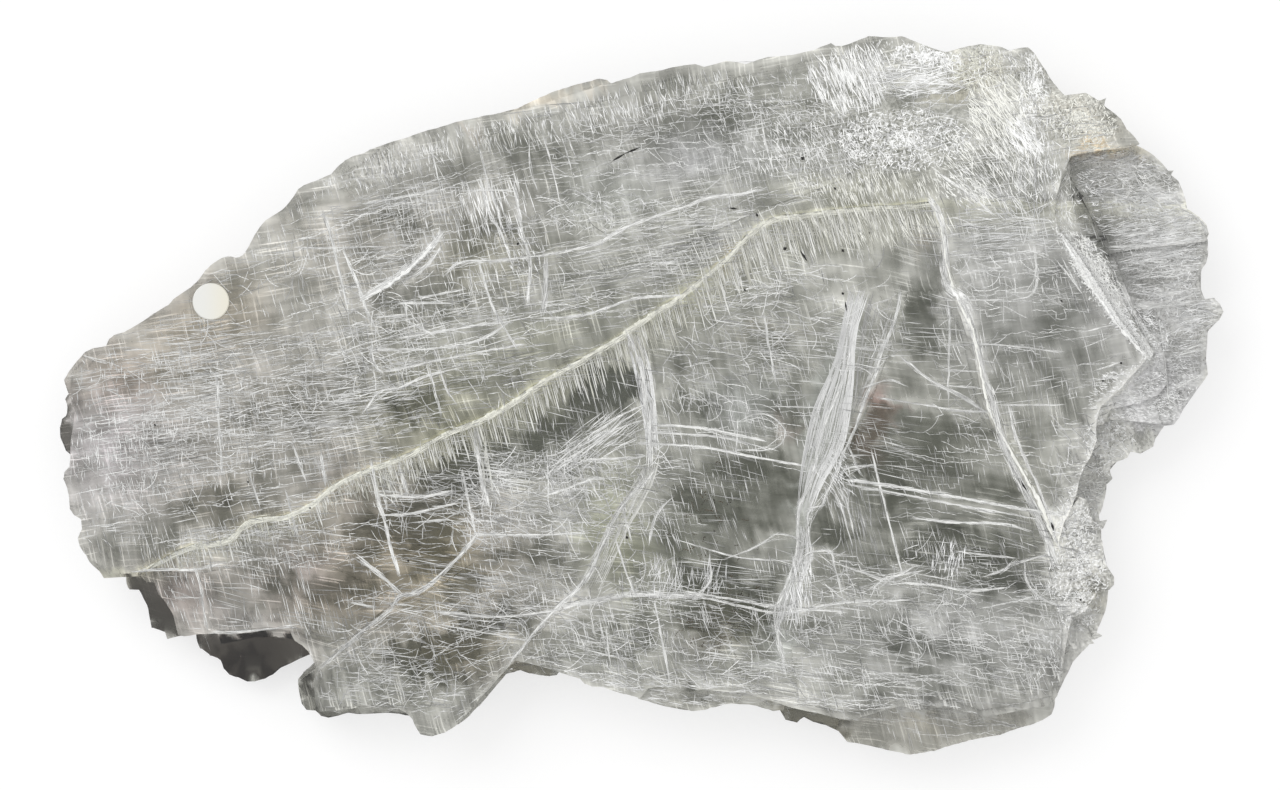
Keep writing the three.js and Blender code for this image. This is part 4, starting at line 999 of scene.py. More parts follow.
def crystal_body():
    """The crystal in place of its plain solid, and its surface to lay fibres on."""
    points, triangles = fine_surface(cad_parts["selenite_slab"])
    points = weathered(points, triangles) * MM
    piece = new_piece("crystal", points, triangles, selenite())
    sharpen(piece.data, 32)
    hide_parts("selenite_slab")
    at = pixel(points)
    tone, red, blue, dark = face_tones(points, points[:, 2])
    cast = np.stack([dark * (1 + red / 120), dark, dark * (1 + blue / 120), np.ones(len(red))], 1)
    store(piece.data, "cast", cast, "FLOAT_COLOR")
    # Painted highlight along the broken rims.
    tone += rim_light(points, corner_normals(points, triangles))
    store(piece.data, "tone", tone / 255)
    store(piece.data, "below", within(at, FACE, 3))
    store(piece.data, "more_level", ramp(Noise(31)(points / [0.045, 0.045, 1]), -0.7, 0.7))
    drift = np.stack([Noise(seed)(points / [0.016, 0.016, 1]) for seed in (32, 33)], 1) * WAVER
    drift += points[:, 2:] * SLANT
    store(piece.data, "drift", np.column_stack([drift, points[:, 2] * 0]), "FLOAT_VECTOR")
    store(piece.data, "comb", comb_share(at) * within(at, FACE, 3))
    fibrous = np.ones(len(at))
    for share, lost in patches(at, CALM):
        fibrous *= 1 - lost * share
    store(piece.data, "fibrous", fibrous)
    crumbly = 0.5 * within(at, ROUGH_GROUND, 6)
    for share, most in patches(at, CRUMBLY):
        crumbly = np.maximum(crumbly, most * share)
    store(piece.data, "crumbly", crumbly)
    return Surface(points, triangles, np.where(dark < 0.5, BARE, tone / 255))


CREAM = (0.93, 0.925, 0.80)
WHITE = (0.98, 0.985, 0.98)


class Surface:
    """The top of the crystal's body, to lay things on."""

    def __init__(self, points, triangles, tone):
        self.tree = BVHTree.FromPolygons([tuple(p) for p in points], triangles.tolist())
        self.tone = tone[triangles[:, 0]]

    def lift(self, at):
        """Points in metres on the body over pixels, which of them are on it at all, and its tone there."""
        flat = place(at)
        down = Vector((0, 0, -1))
        heights = np.full(len(flat), np.nan)
        tone = np.zeros(len(flat))
        for k, (x, y) in enumerate(flat):
            hit, _, triangle, _ = self.tree.ray_cast(Vector((x, y, 0.1)), down)
            if hit is not None:
                heights[k] = hit.z
                tone[k] = self.tone[triangle]
        return np.column_stack([flat, heights]), ~np.isnan(heights), tone


# Where the tone is at or below this, nothing lies on the crystal
BARE = -9.0
# How far a spindle may be raised to clear the crystal's swell
HIGHEST_BULGE = 0.5 * MM


class Spindles:
    """Many slim closed spindles, each with a width, a shade and a cream share, kept to make one piece."""

    def __init__(self, surface):
        self.surface = surface
        self.parts = []

    def add(self, starts, ends, widths, shades, cream, sink=-0.12, over=0.86):
        """Spindles between pixels. Sink is how deep the middle lies, as a share of the width.

        Over is how far each goes from the crystal's own tone to its shade: 0 not at all, 1 all the way.
        """
        starts, ends = np.asarray(starts, float), np.asarray(ends, float)
        low, low_on, tone = self.surface.lift(starts)
        high, high_on, _ = self.surface.lift(ends)
        level = np.abs(low[:, 2] - high[:, 2]) < 1.4 * MM
        keep = low_on & high_on & level & (tone > BARE)
        widths = np.broadcast_to(widths, len(keep))[keep] * PX
        shades = np.broadcast_to(shades, len(keep))[keep]
        shades = tone[keep] + (shades - tone[keep]) * over
        cream = np.broadcast_to(cream, len(keep))[keep]
        starts, ends, low, high = starts[keep], ends[keep], low[keep], high[keep]
        bulge = np.zeros(len(low))
        for share in (0.25, 0.5, 0.75):
            between, on, _ = self.surface.lift(starts + (ends - starts) * share)
            straight = low[:, 2] + (high[:, 2] - low[:, 2]) * share
            bulge = np.maximum(bulge, np.where(on, between[:, 2] - straight, 0))
        rise = np.minimum(bulge, HIGHEST_BULGE) - widths * sink
        low[:, 2] += rise
        high[:, 2] += rise
        self.parts.append((low, high, widths, shades, cream))

    def piece(self, name, material, fat=0.5):
        """One piece of all spindles, with their fattest place at a share of their length."""
        low, high, widths, shades, cream = (np.concatenate(group) for group in zip(*self.parts))
        along = high - low
        side = np.cross(along, [0, 0, 1.0])
        side /= np.maximum(np.linalg.norm(side, axis=1, keepdims=True), 1e-9)
        middle = low + along * fat
        half = widths[:, None] / 2
        up = np.array([0, 0, 1.0])
        corners = [low, high, middle + side * half, middle - side * half, middle + up * half * 0.45]
        points = np.stack(corners, 1).reshape(-1, 3)
        base = np.array([(0, 2, 4), (0, 4, 3), (0, 3, 2), (1, 4, 2), (1, 3, 4), (1, 2, 3)])
        faces = (base[None] + 5 * np.arange(len(low))[:, None, None]).reshape(-1, 3)
        made = new_piece(name, points, faces, material, smooth=False)
        made.visible_shadow = False
        store(made.data, "shade", np.repeat(shades, 5))
        store(made.data, "cream", np.repeat(cream, 5))
        return made


def vein_spindles(spindles, line, width, strength, random, cream=0.15):
    """Strands along a line, scattered over its width."""
    line = smooth_line(line, 2.0)
    tangents = np.gradient(line, axis=0)
    tangents /= np.linalg.norm(tangents, axis=1, keepdims=True)
    count = max(8, int(len(line) * strength * (0.7 + width * 0.62)))
    pick = random.randint(0, len(line), count)
    aside = random.normal(0, width * 0.20, count)
    turn = random.normal(0, 0.035, count)
    along = tangents[pick]
    across = np.column_stack([-along[:, 1], along[:, 0]])
    run = along * np.cos(turn)[:, None] + across * np.sin(turn)[:, None]
    middle = line[pick] + across * aside[:, None]
    half = random.uniform(3, 12, count)[:, None]
    thin = random.uniform(0.3, 0.9, count) * (0.75 + 0.06 * width)
    shades = np.clip(random.normal(0.88, 0.12, count) * (0.8 + 0.2 * strength), 0.45, 1)
    spindles.add(middle - run * half, middle + run * half, thin, shades, cream, over=0.93)
    core = line[::3] + random.normal(0, 0.16, line[::3].shape)
    span = min(5, len(core) - 1)
    thick = random.uniform(0.3, 1.0, len(core) - span) * (0.5 + 0.09 * width)
    shades = np.clip(random.normal(0.9, 0.07, len(thick)) * (0.75 + 0.25 * strength), 0.45, 1)
    kept = random.rand(len(thick)) < 0.8
    spindles.add(core[:-span][kept], core[span:][kept], thick[kept], shades[kept], cream, over=0.95)


def comb(spindles, random):
    """Fibres that hang side by side from the growth seam, each fattest near its tip."""
    line = smooth_line(SEAM, 1.0)
    lean = np.array([0.26, 0.965])
    for layer, (share, thin) in enumerate(((1.0, 1.7), (0.85, 1.5), (0.7, 1.4), (0.5, 1.3))):
        pick = np.arange(layer, len(line), 3)
        roots = line[pick] + random.normal(0, 0.8, (len(pick), 2))
        reach = np.interp(roots[:, 0], *zip(*COMB_REACH)) * share * random.uniform(0.45, 1.05, len(pick))
        keep = random.rand(len(pick)) < np.interp(roots[:, 0], *zip(*COMB_FULLNESS))
        roots, reach = roots[keep], reach[keep]
        turn = lean + random.normal(0, 0.03, (len(roots), 2))
        shades = random.uniform(0.62, 0.98, len(roots))
        thickness = thin * random.uniform(0.4, 1.0, len(roots))
        cream = np.where(shades > 0.84, 0.35, 0.9)
        spindles.add(roots, roots + turn * reach[:, None], thickness, shades, cream, over=0.88)


# How many of the places along the seam carry a fibre
COMB_FULLNESS = [
    (130, 0.35), (330, 0.45), (440, 0.8), (640, 0.9), (700, 0.6), (760, 0.8), (900, 0.8), (931, 0.5),
]


def sheaves(spindles, count, random):
    """Bundles of hair-fine parallel needles, each bundle rooted along a short line across its needles."""
    roots = np.column_stack([random.uniform(60, 1110, count), random.uniform(45, 745, count)])
    field = Noise(21)(np.column_stack([roots / 150, roots[:, 0] * 0]))
    crowd = Noise(22)(np.column_stack([roots / [85, 34], roots[:, 0] * 0]))
    keep = random.rand(count) < np.clip(0.5 + 0.9 * crowd, 0.06, 1)
    below = inside(roots, FACE)
    for root, tilt, under in zip(roots[keep], field[keep], below[keep]):
        steep = random.rand() < np.clip(0.5 - 0.6 * tilt, 0.2, 0.8)
        level = LEVEL_BELOW if under else LEVEL_ABOVE
        angles = np.radians([STEEP, level] if steep else [level, STEEP]) + random.normal(0, 0.08, 2)
        run, across = (np.array([math.cos(a), -math.sin(a)]) for a in angles)
        number = random.randint(2, 11)
        gap = random.uniform(1.6, 6.0)
        reach = random.uniform(10, 34) if steep else random.uniform(18, 64)
        places = (np.arange(number) - number / 2)[:, None] * gap + random.normal(0, gap * 0.4, (number, 1))
        starts = root + across * places + run * random.normal(0, reach * 0.4, (number, 1))
        splay = random.normal(0, 0.03, (number, 2))
        ends = starts + (run + splay) * reach * random.uniform(0.35, 1.1, (number, 1))
        shade = random.uniform(0.55, 1.0)
        shades = np.clip(random.normal(shade, 0.10, number), 0.35, 0.98)
        spindles.add(starts, ends, random.uniform(0.3, 0.9, number), shades, 0.1)


# Fields of curved hairlines: middle, half sizes, number
WEBS = [
    (600, 480, 62, 50, 260), (510, 500, 60, 36, 220), (720, 355, 60, 50, 240), (640, 250, 150, 60, 260),
    (560, 600, 90, 40, 200), (430, 500, 60, 30, 150), (820, 320, 60, 50, 150), (880, 590, 90, 40, 200),
    (1000, 250, 50, 60, 130), (1075, 470, 26, 60, 160), (940, 100, 100, 50, 240), (750, 640, 60, 40, 130),
    (300, 330, 120, 80, 200), (170, 430, 100, 80, 200), (430, 340, 100, 60, 200),
    (640, 660, 110, 30, 160), (390, 660, 70, 40, 160), (980, 640, 80, 50, 160), (690, 140, 150, 40, 180),
    (960, 380, 40, 60, 80),
]


def webs(spindles, random):
    """Curved hairlines that wander off the two fibre directions and cross each other."""
    for x, y, wide, high, count in WEBS:
        for _ in range(count):
            here = np.array([x, y]) + random.uniform(-1, 1, 2) * [wide, high]
            angle = math.radians(random.choice([STEEP, -8, 4])) + random.normal(0, 0.35)
            bend = random.normal(0, 0.09)
            steps = random.randint(3, 9)
            path = [here]
            for _ in range(steps):
                path.append(path[-1] + 3.6 * np.array([math.cos(angle), -math.sin(angle)]))
                angle += bend + random.normal(0, 0.10)
            path = np.array(path)
            shade = np.clip(random.normal(0.80, 0.13), 0.4, 1)
            spindles.add(path[:-2], path[2:], random.uniform(0.4, 1.0), shade, 0.1)


# Fields of long threads: middle, half sizes, number, direction, shortest and longest in pixels
THREADS = [
    (200, 400, 140, 70, 80, 4, 50, 200), (160, 480, 100, 60, 50, 8, 50, 160),
    (400, 340, 130, 60, 60, 7, 50, 180), (330, 230, 90, 50, 50, 14, 40, 140),
    (560, 200, 160, 70, 80, 8, 50, 180), (620, 290, 120, 40, 60, 6, 40, 140),
    (500, 500, 100, 50, 60, -6, 40, 140), (560, 620, 120, 50, 60, -8, 40, 140),
    (420, 640, 90, 40, 40, 24, 40, 120), (1000, 290, 56, 80, 50, 0, 30, 90),
    (1080, 380, 30, 60, 30, 4, 20, 60), (900, 600, 120, 40, 50, -6, 40, 140),
    (960, 480, 80, 50, 30, -9, 40, 120), (900, 680, 140, 40, 60, -4, 40, 140),
    (700, 680, 100, 20, 30, -6, 40, 120), (760, 130, 160, 50, 60, 6, 40, 140),
    (960, 120, 80, 60, 40, 8, 30, 90), (720, 400, 60, 70, 24, -8, 30, 100),
    (250, 550, 110, 20, 40, 4, 40, 140), (1160, 250, 50, 60, 80, 4, 20, 80),
    (1150, 190, 36, 24, 34, -14, 20, 60), (1150, 390, 40, 30, 34, -8, 20, 60),
    (1185, 320, 30, 40, 30, 6, 16, 50),
]
# Length of a thread's parts, in pixels
THREAD_STEP = 5


def threads(spindles, random):
    """Long thin lines that follow the fibres, with small steps from one fibre to the next."""
    for x, y, wide, high, count, direction, short, long in THREADS:
        for _ in range(count):
            path = [np.array([x, y]) + random.uniform(-1, 1, 2) * [wide, high]]
            heading = math.radians(direction + random.normal(0, 5))
            for _ in range(int(random.uniform(short, long) / THREAD_STEP)):
                if random.rand() < 0.10:
                    angle = math.radians(random.normal(STEEP, 10))
                    stride = random.choice([-1, 1]) * random.uniform(2, 7)
                else:
                    angle = heading + random.normal(0, 0.20)
                    stride = THREAD_STEP
                path.append(path[-1] + stride * np.array([math.cos(angle), -math.sin(angle)]))
            path = np.array(path)
            past = (path[1:] - path[:-1]) * 0.3
            shades = np.clip(random.normal(0.86, 0.10) + random.normal(0, 0.08, len(past)), 0.4, 1)
            spindles.add(path[:-1] - past, path[1:] + past, random.uniform(0.35, 0.8), shades, 0.1)


# Fields of loose hairs: middle, half sizes, turn of the field, number, direction, spread of the direction,
# shortest, longest, thinnest and widest in pixels, shade, cream share
HAIRS = [
    (440, 215, 60, 22, 0, 150, STEEP, 6, 5, 26, 0.5, 1.0, 0.85, 0.1),
    (500, 205, 26, 24, 0, 70, STEEP, 5, 10, 34, 0.5, 1.1, 0.95, 0.05),
    (472, 215, 14, 26, 0, 34, STEEP, 3, 10, 30, 0.4, 0.9, 0.95, 0.1),
    (522, 252, 16, 20, 0, 40, -62, 10, 6, 18, 0.5, 1.2, 0.95, 0.05),
    (480, 278, 34, 14, 0, 44, STEEP, 6, 8, 30, 0.4, 1.0, 0.9, 0.2),
    (600, 212, 42, 24, 0, 190, 20, 70, 4, 14, 0.4, 0.9, 0.88, 0.05),
    (395, 202, 60, 12, -12, 130, 10, 12, 6, 24, 0.4, 0.8, 0.8, 0.0),
    (380, 170, 44, 30, 0, 130, STEEP, 16, 4, 12, 0.4, 0.8, 0.75, 0.1),
    (395, 262, 36, 16, 0, 44, 5, 3, 12, 40, 0.4, 0.8, 0.8, 0.1),
    (850, 76, 34, 28, 0, 420, -68, 8, 6, 26, 0.6, 1.5, 0.96, 0.1),
    (925, 56, 28, 8, 8, 320, 0, 90, 2, 7, 0.8, 1.8, 0.98, 0.05),
    (920, 80, 42, 13, 0, 200, 5, 14, 8, 30, 0.5, 1.2, 0.95, 0.05),
    (976, 66, 22, 20, 0, 420, 0, 90, 2, 9, 0.6, 1.4, 0.88, 0.9),
    (998, 104, 24, 26, 0, 340, -55, 16, 6, 22, 0.6, 1.3, 0.95, 0.5),
    (1034, 84, 12, 30, 10, 360, -70, 40, 3, 10, 0.6, 1.4, 0.98, 0.1),
    (1012, 70, 26, 24, 0, 80, -60, 12, 8, 24, 0.4, 0.9, 0.9, 0.6),
    (1078, 117, 32, 20, 20, 620, 0, 90, 2, 7, 0.6, 1.5, 0.93, 0.6),
    (905, 140, 52, 24, 0, 1200, 0, 90, 2, 8, 0.5, 1.3, 0.97, 0.05),
    (790, 120, 60, 40, 0, 500, -66, 25, 3, 12, 0.4, 1.0, 0.88, 0.05),
    (965, 146, 16, 18, 0, 70, -50, 10, 5, 16, 0.6, 1.3, 0.96, 0.4),
    (1024, 138, 10, 18, -40, 110, -50, 14, 5, 18, 0.8, 1.8, 0.98, 0.05),
    (960, 186, 26, 14, 35, 150, -40, 16, 3, 12, 0.6, 1.4, 0.96, 0.3),
    (988, 194, 32, 14, 30, 150, -45, 12, 6, 18, 0.4, 1.0, 0.9, 0.1),
    (870, 188, 62, 15, 0, 420, -68, 8, 5, 16, 0.5, 1.1, 0.92, 0.5),
    (878, 226, 60, 14, 0, 280, -66, 5, 10, 34, 0.5, 1.2, 0.95, 0.5),
    (760, 250, 70, 26, -20, 240, -68, 5, 10, 34, 0.4, 1.1, 0.92, 0.4),
    (1004, 238, 46, 20, 0, 100, 4, 4, 12, 46, 0.4, 0.9, 0.88, 0.0),
    (1025, 175, 30, 30, 0, 90, -85, 6, 10, 30, 0.4, 0.8, 0.8, 0.0),
    (1096, 192, 14, 24, 0, 80, -8, 30, 2, 8, 0.6, 1.4, 0.97, 0.0),
    (1098, 148, 28, 4, 4, 110, 5, 25, 2, 8, 0.6, 1.2, 0.85, 0.9),
    (1160, 245, 40, 26, 0, 500, 6, 8, 5, 26, 0.4, 0.9, 0.9, 0.05),
    (1150, 190, 30, 26, 30, 420, -20, 30, 3, 12, 0.4, 1.0, 0.92, 0.1),
    (1186, 270, 26, 14, 0, 140, 0, 60, 3, 9, 0.4, 0.9, 0.92, 0.0),
    (1094, 268, 14, 34, -36, 700, -55, 30, 3, 10, 0.5, 1.2, 0.95, 0.2),
    (1140, 326, 28, 14, 30, 420, -10, 30, 3, 10, 0.5, 1.1, 0.95, 0.0),
    (1182, 320, 30, 32, 0, 260, 8, 40, 3, 14, 0.4, 0.9, 0.88, 0.0),
    (1134, 400, 36, 26, 0, 800, -12, 22, 2, 7, 0.4, 0.8, 0.99, 0.0),
    (1064, 205, 12, 34, 0, 160, -70, 30, 3, 12, 0.4, 1.0, 0.96, 0.2),
    (1172, 386, 24, 30, 0, 260, -10, 30, 2, 7, 0.4, 0.8, 0.99, 0.0),
    (1110, 445, 22, 26, 0, 320, 0, 50, 3, 8, 0.4, 0.9, 0.98, 0.0),
    (836, 478, 16, 24, 0, 110, -60, 16, 5, 16, 0.4, 0.9, 0.93, 0.0),
    (862, 520, 18, 34, 0, 60, -78, 5, 10, 34, 0.3, 0.8, 0.8, 0.0),
    (950, 560, 14, 14, 0, 46, 80, 5, 8, 18, 0.5, 1.0, 0.96, 0.0),
    (668, 580, 16, 18, 0, 50, 80, 12, 10, 30, 0.4, 0.9, 0.9, 0.0),
    (708, 578, 16, 16, 0, 40, 75, 12, 10, 26, 0.4, 0.9, 0.9, 0.0),
    (800, 590, 12, 26, 0, 70, -80, 6, 10, 30, 0.5, 1.0, 0.94, 0.0),
    (505, 475, 18, 10, 0, 30, -8, 2, 16, 34, 0.5, 1.0, 0.95, 0.1),
    (600, 438, 42, 16, -35, 120, 35, 6, 12, 40, 0.4, 1.0, 0.9, 0.1),
    (545, 472, 44, 20, 0, 160, 20, 50, 5, 16, 0.4, 0.9, 0.88, 0.05),
    (210, 400, 120, 60, 0, 420, 6, 6, 10, 44, 0.3, 0.8, 0.86, 0.05),
    (170, 430, 100, 60, 0, 420, -86, 6, 3, 14, 0.4, 1.0, 0.9, 0.05),
    (110, 485, 46, 50, 0, 220, -80, 25, 3, 12, 0.4, 0.9, 0.88, 0.05),
    (350, 400, 60, 40, 0, 220, 14, 25, 4, 18, 0.4, 0.9, 0.85, 0.1),
    (1080, 560, 24, 60, 0, 900, 0, 70, 2, 7, 0.5, 1.3, 0.97, 0.05),
    (1050, 640, 30, 50, 0, 220, -70, 30, 3, 12, 0.4, 1.0, 0.9, 0.05),
    (640, 690, 90, 12, 4, 200, -8, 12, 5, 24, 0.4, 1.0, 0.9, 0.05),
    (420, 690, 60, 26, 0, 160, 15, 20, 5, 20, 0.4, 0.9, 0.88, 0.1),
    (240, 545, 80, 24, 0, 220, STEEP, 12, 4, 16, 0.4, 0.9, 0.85, 0.3),
    (380, 480, 60, 20, -20, 160, STEEP, 8, 6, 24, 0.4, 1.0, 0.9, 0.5),
    (1000, 150, 34, 50, 0, 420, -58, 14, 5, 20, 0.4, 1.1, 0.97, 0.3),
    (1040, 150, 26, 40, 0, 260, -80, 20, 4, 16, 0.4, 1.0, 0.95, 0.05),
    (940, 60, 100, 14, 3, 420, -80, 25, 3, 9, 0.5, 1.3, 0.98, 0.1),
    (820, 150, 60, 30, 0, 420, -66, 20, 4, 14, 0.4, 1.0, 0.95, 0.1),
    (620, 110, 110, 16, -14, 420, -72, 12, 5, 18, 0.4, 1.0, 0.92, 0.1),
    (430, 150, 100, 14, -22, 320, -72, 14, 4, 14, 0.4, 1.0, 0.92, 0.1),
]


def hairs(spindles, random):
    """Single straight hairs, scattered over their fields and thinning out towards the rims."""
    for x, y, wide, high, turn, count, direction, spread, short, long, thin, thick, shade, cream in HAIRS:
        angle, away = random.uniform(0, 2 * math.pi, count), random.uniform(0, 1.4, count) ** 0.7
        u, v = wide * away * np.cos(angle), high * away * np.sin(angle)
        lean = math.radians(turn)
        right = x + u * math.cos(lean) - v * math.sin(lean)
        down = y + u * math.sin(lean) + v * math.cos(lean)
        at = np.column_stack([right, down])
        angle = np.radians(direction + random.normal(0, 1, count) * spread)
        run = np.column_stack([np.cos(angle), -np.sin(angle)]) * random.uniform(short, long, (count, 1)) / 2
        shades = np.clip(random.normal(shade, 0.10, count), 0.45, 1)
        over = np.clip(0.76 + 2.4 * (shade - 0.85), 0.6, 1)
        spindles.add(at - run, at + run, random.uniform(thin, thick, count), shades, cream, over=over)


# Silky bands between two lines: number of strands, shade, cream share, left line, right line
SILK = [
    (520, 0.84, 0.05, [(850, 286), (842, 326), (834, 364), (814, 406), (802, 460), (798, 500), (797, 520)],
     [(872, 286), (857, 330), (855, 350), (854, 385), (845, 446), (824, 481), (811, 515), (808, 530)]),
    (90, 0.66, 0.2, [(872, 290), (862, 330), (858, 360), (856, 390), (850, 424)],
     [(900, 296), (889, 332), (878, 362), (866, 392), (852, 424)]),
    (260, 0.92, 0.0, [(626, 336), (634, 370), (640, 400), (645, 430), (648, 462)],
     [(640, 334), (650, 365), (655, 400), (657, 430), (660, 455)]),
    (220, 0.76, 0.4, [(646, 462), (630, 490), (610, 520), (596, 552), (575, 590)],
     [(660, 455), (655, 478), (642, 505), (628, 530), (612, 565), (596, 600)]),
    (120, 0.86, 0.5, [(474, 428), (476, 450), (480, 472), (484, 490)],
     [(484, 426), (487, 450), (491, 475), (494, 500)]),
    (160, 0.86, 0.05, [(797, 520), (800, 545), (792, 575), (782, 600), (772, 640)],
     [(808, 530), (812, 553), (806, 575), (800, 590), (790, 640)]),
]


def silk(spindles, random):
    """Long fine strands side by side between two lines, brightest along the right one."""
    for count, shade, cream, left, right in SILK:
        left, right = (smooth_line(line, 1.0) for line in (left, right))
        steps = np.linspace(0, 1, 60)
        left, right = (line[(steps * (len(line) - 1)).astype(int)] for line in (left, right))
        for _ in range(count):
            share = np.clip(random.beta(0.6, 0.6), 0.01, 0.99)
            path = left + (right - left) * share
            first = random.randint(0, 46)
            last = min(first + random.randint(6, 16), 59)
            path = path[first:last + 1:3]
            strand = np.clip(random.normal(shade - 0.04 + 0.16 * share ** 3, 0.06), 0.3, 1)
            spindles.add(path[:-2], path[2:], random.uniform(0.4, 1.0), strand, cream, over=0.8)


# Lines of white sugary grains: half width in pixels, grains for each pixel, size in pixels, points
CRUSTS = [
    (5, 12.0, 1.5, [(1061, 232), (1070, 246), (1082, 262)]),
    (9, 26.0, 1.6, [(1080, 262), (1092, 280), (1102, 294), (1112, 307), (1120, 317)]),
    (6, 16.0, 1.5, [(1116, 312), (1128, 329), (1140, 342), (1151, 357)]),
    (12, 5.0, 1.3, [(1078, 244), (1096, 270), (1116, 300), (1138, 330), (1154, 350)]),
    (5, 1.6, 1.5, [(1147, 358), (1128, 380), (1111, 398), (1101, 410), (1098, 440), (1086, 466),
                   (1078, 492), (1068, 515), (1060, 540)]),
    (4, 1.2, 1.4, [(1052, 165), (1058, 196), (1057, 220)]),
    (13, 2.4, 1.6, [(1076, 505), (1082, 530), (1086, 560), (1098, 578), (1080, 606), (1070, 618)]),
    (5, 4.0, 1.1, [(362, 298), (385, 285), (400, 275), (415, 262), (428, 250), (440, 235)]),
    (6, 1.0, 1.5, [(953, 286), (962, 298), (969, 306)]),
    (5, 0.8, 1.3, [(1062, 120), (1100, 140), (1130, 150), (1160, 165)]),
    (9, 0.8, 1.3, [(1150, 330), (1160, 360), (1140, 400), (1120, 440)]),
]


def grains(spindles, middles, size, random, shade=0.95, cream=0.1):
    """Short fat grains that point all ways."""
    angle = random.uniform(0, math.pi, len(middles))
    direction = np.column_stack([np.cos(angle), np.sin(angle)])
    half = direction * random.uniform(0.4, 1.1, (len(middles), 1)) * size
    shades = np.clip(random.normal(shade, 0.08, len(middles)), 0.4, 1)
    widths = size * random.uniform(0.5, 1.1, len(middles))
    spindles.add(middles - half, middles + half, widths, shades, cream, over=0.9)


def crusts(spindles, random):
    """Sugary grains along their lines."""
    for half, crowd, size, line in CRUSTS:
        line = smooth_line(line, 1.0)
        count = int(len(line) * crowd)
        middles = line[random.randint(0, len(line), count)] + random.normal(0, half * 0.5, (count, 2))
        grains(spindles, middles, size, random)


def shelf_fibres(spindles, count, random):
    """Short bright level fibres and grains on the rough end."""
    at = np.column_stack([random.uniform(1060, 1230, count), random.uniform(145, 450, count)])
    at = at[inside(at, SHELF)]
    crowd = Noise(24)(np.column_stack([at / [40, 14], at[:, 0] * 0]))
    at = at[random.rand(len(at)) < np.clip(0.45 + 1.1 * crowd, 0.05, 1)]
    angle = np.radians(random.normal(4, 14, len(at)))
    run = np.column_stack([np.cos(angle), -np.sin(angle)]) * random.gamma(2, 3.0, (len(at), 1))
    shades = np.clip(random.normal(0.90, 0.14, len(at)), 0.4, 1)
    spindles.add(at - run, at + run, random.uniform(0.3, 0.9, len(at)), shades, 0.0)


# Black specks and slits: ends in pixels and width
SPECKS = [
    ((517, 243), (519, 245), 2.4), ((801, 157), (804, 160), 2.6), ((834, 187), (836, 190), 1.8),
    ((869, 231), (871, 234), 1.6), ((784, 247), (786, 250), 3.0), ((842, 249), (844, 252), 2.0),
    ((744, 264), (746, 266), 1.6), ((744, 289), (746, 291), 1.6), ((842, 292), (844, 295), 1.8),
    ((756, 213), (758, 217), 1.8), ((696, 289), (698, 291), 1.6), ((728, 208), (738, 209), 1.4),
    ((800, 250), (808, 262), 1.6), ((309, 507), (311, 509), 1.8), ((407, 560), (409, 562), 1.6),
    ((626, 536), (628, 539), 2.2), ((1021, 480), (1027, 491), 1.8), ((1051, 522), (1054, 531), 1.8),
    ((1080, 599), (1082, 601), 1.8), ((1120, 362), (1122, 364), 1.8), ((154, 424), (156, 426), 1.4),
    ((247, 481), (249, 483), 1.4), ((611, 162), (626, 153), 1.6), ((624, 154), (641, 147), 1.4),
    ((845, 300), (847, 312), 1.2), ((1060, 300), (1063, 302), 1.2), ((1102, 380), (1104, 382), 1.4),
]
# Fields of small brown squiggles of dirt: middle, half sizes, number
DIRT = [(705, 530, 34, 36, 34), (728, 615, 40, 40, 60), (700, 635, 26, 14, 22), (690, 500, 26, 14, 10)]


def dirt(spindles, random):
    """Black specks where the crystal has them, and brown squiggles."""
    for start, end, width in SPECKS:
        spindles.add([start], [end], width * 1.5, 0.0, 0.0, sink=-0.2, over=1)
    for x, y, wide, high, count in DIRT:
        for _ in range(count):
            path = [np.array([x, y]) + random.normal(0, 0.6, 2) * [wide, high]]
            angle = random.uniform(0, 2 * math.pi)
            for _ in range(random.randint(2, 6)):
                angle += random.normal(0, 0.9)
                path.append(path[-1] + 2.0 * np.array([math.cos(angle), math.sin(angle)]))
            path = np.array(path)
            shade = random.uniform(0.1, 0.9)
            spindles.add(path[:-1], path[1:], random.uniform(0.6, 1.3), shade, 0.0, sink=0.0, over=1)


def dirt_brown():
    """Black to brown, as dark as each speck's own shade."""
    n = Nodes("dirt")
    colour = n.blend_colour(n.number("shade"), (0.010, 0.009, 0.008, 1), (0.10, 0.075, 0.05, 1))
    n.put(n.shader["Base Color"], colour)
    n.shader["Roughness"].default_value = 0.8
    return n.material


# Pale bands that lie on the crystal: name, width in pixels at some places along it, raggedness, rise in mm,
# shade, cream share, points
BANDS = [
    ("seam_band", [(130, 1.4), (330, 2.0), (480, 3.2), (740, 4.6), (931, 3.6)], 0.7, 0.10, 0.74, 0.9,
     [(x, y + 1) for x, y in SEAM]),
    ("ridge_band", [(931, 3.0), (1058, 4.2)], 0.6, 0.08, 0.86, 0.4, RIDGE),
    ("crest_band", [(1060, 1.4), (1090, 3.4), (1147, 2.4)], 0.9, 0.10, 0.90, 0.1, [
        (1060, 232), (1068, 248), (1080, 268), (1090, 286), (1100, 301), (1112, 318), (1124, 333),
        (1136, 346), (1147, 358),
    ]),
    ("bruise_band", [(362, 2), (400, 4), (441, 3)], 0.9, 0.10, 0.86, 0.1, [
        (362, 299), (374, 293), (386, 286), (400, 276), (414, 264), (426, 252), (434, 243), (441, 234),
    ]),
    ("ridge_patch", [(951, 9)], 0.5, 0.15, 0.97, 0.1, [(951, 286), (957, 293), (963, 300), (969, 309)]),
]
# Across a band from side to side: share of its half width, share of its rise
BAND_PROFILE = [(-1.0, -0.5), (-0.85, 0.35), (-0.25, 1.0), (0.35, 0.95), (0.9, 0.3), (1.0, -0.5)]


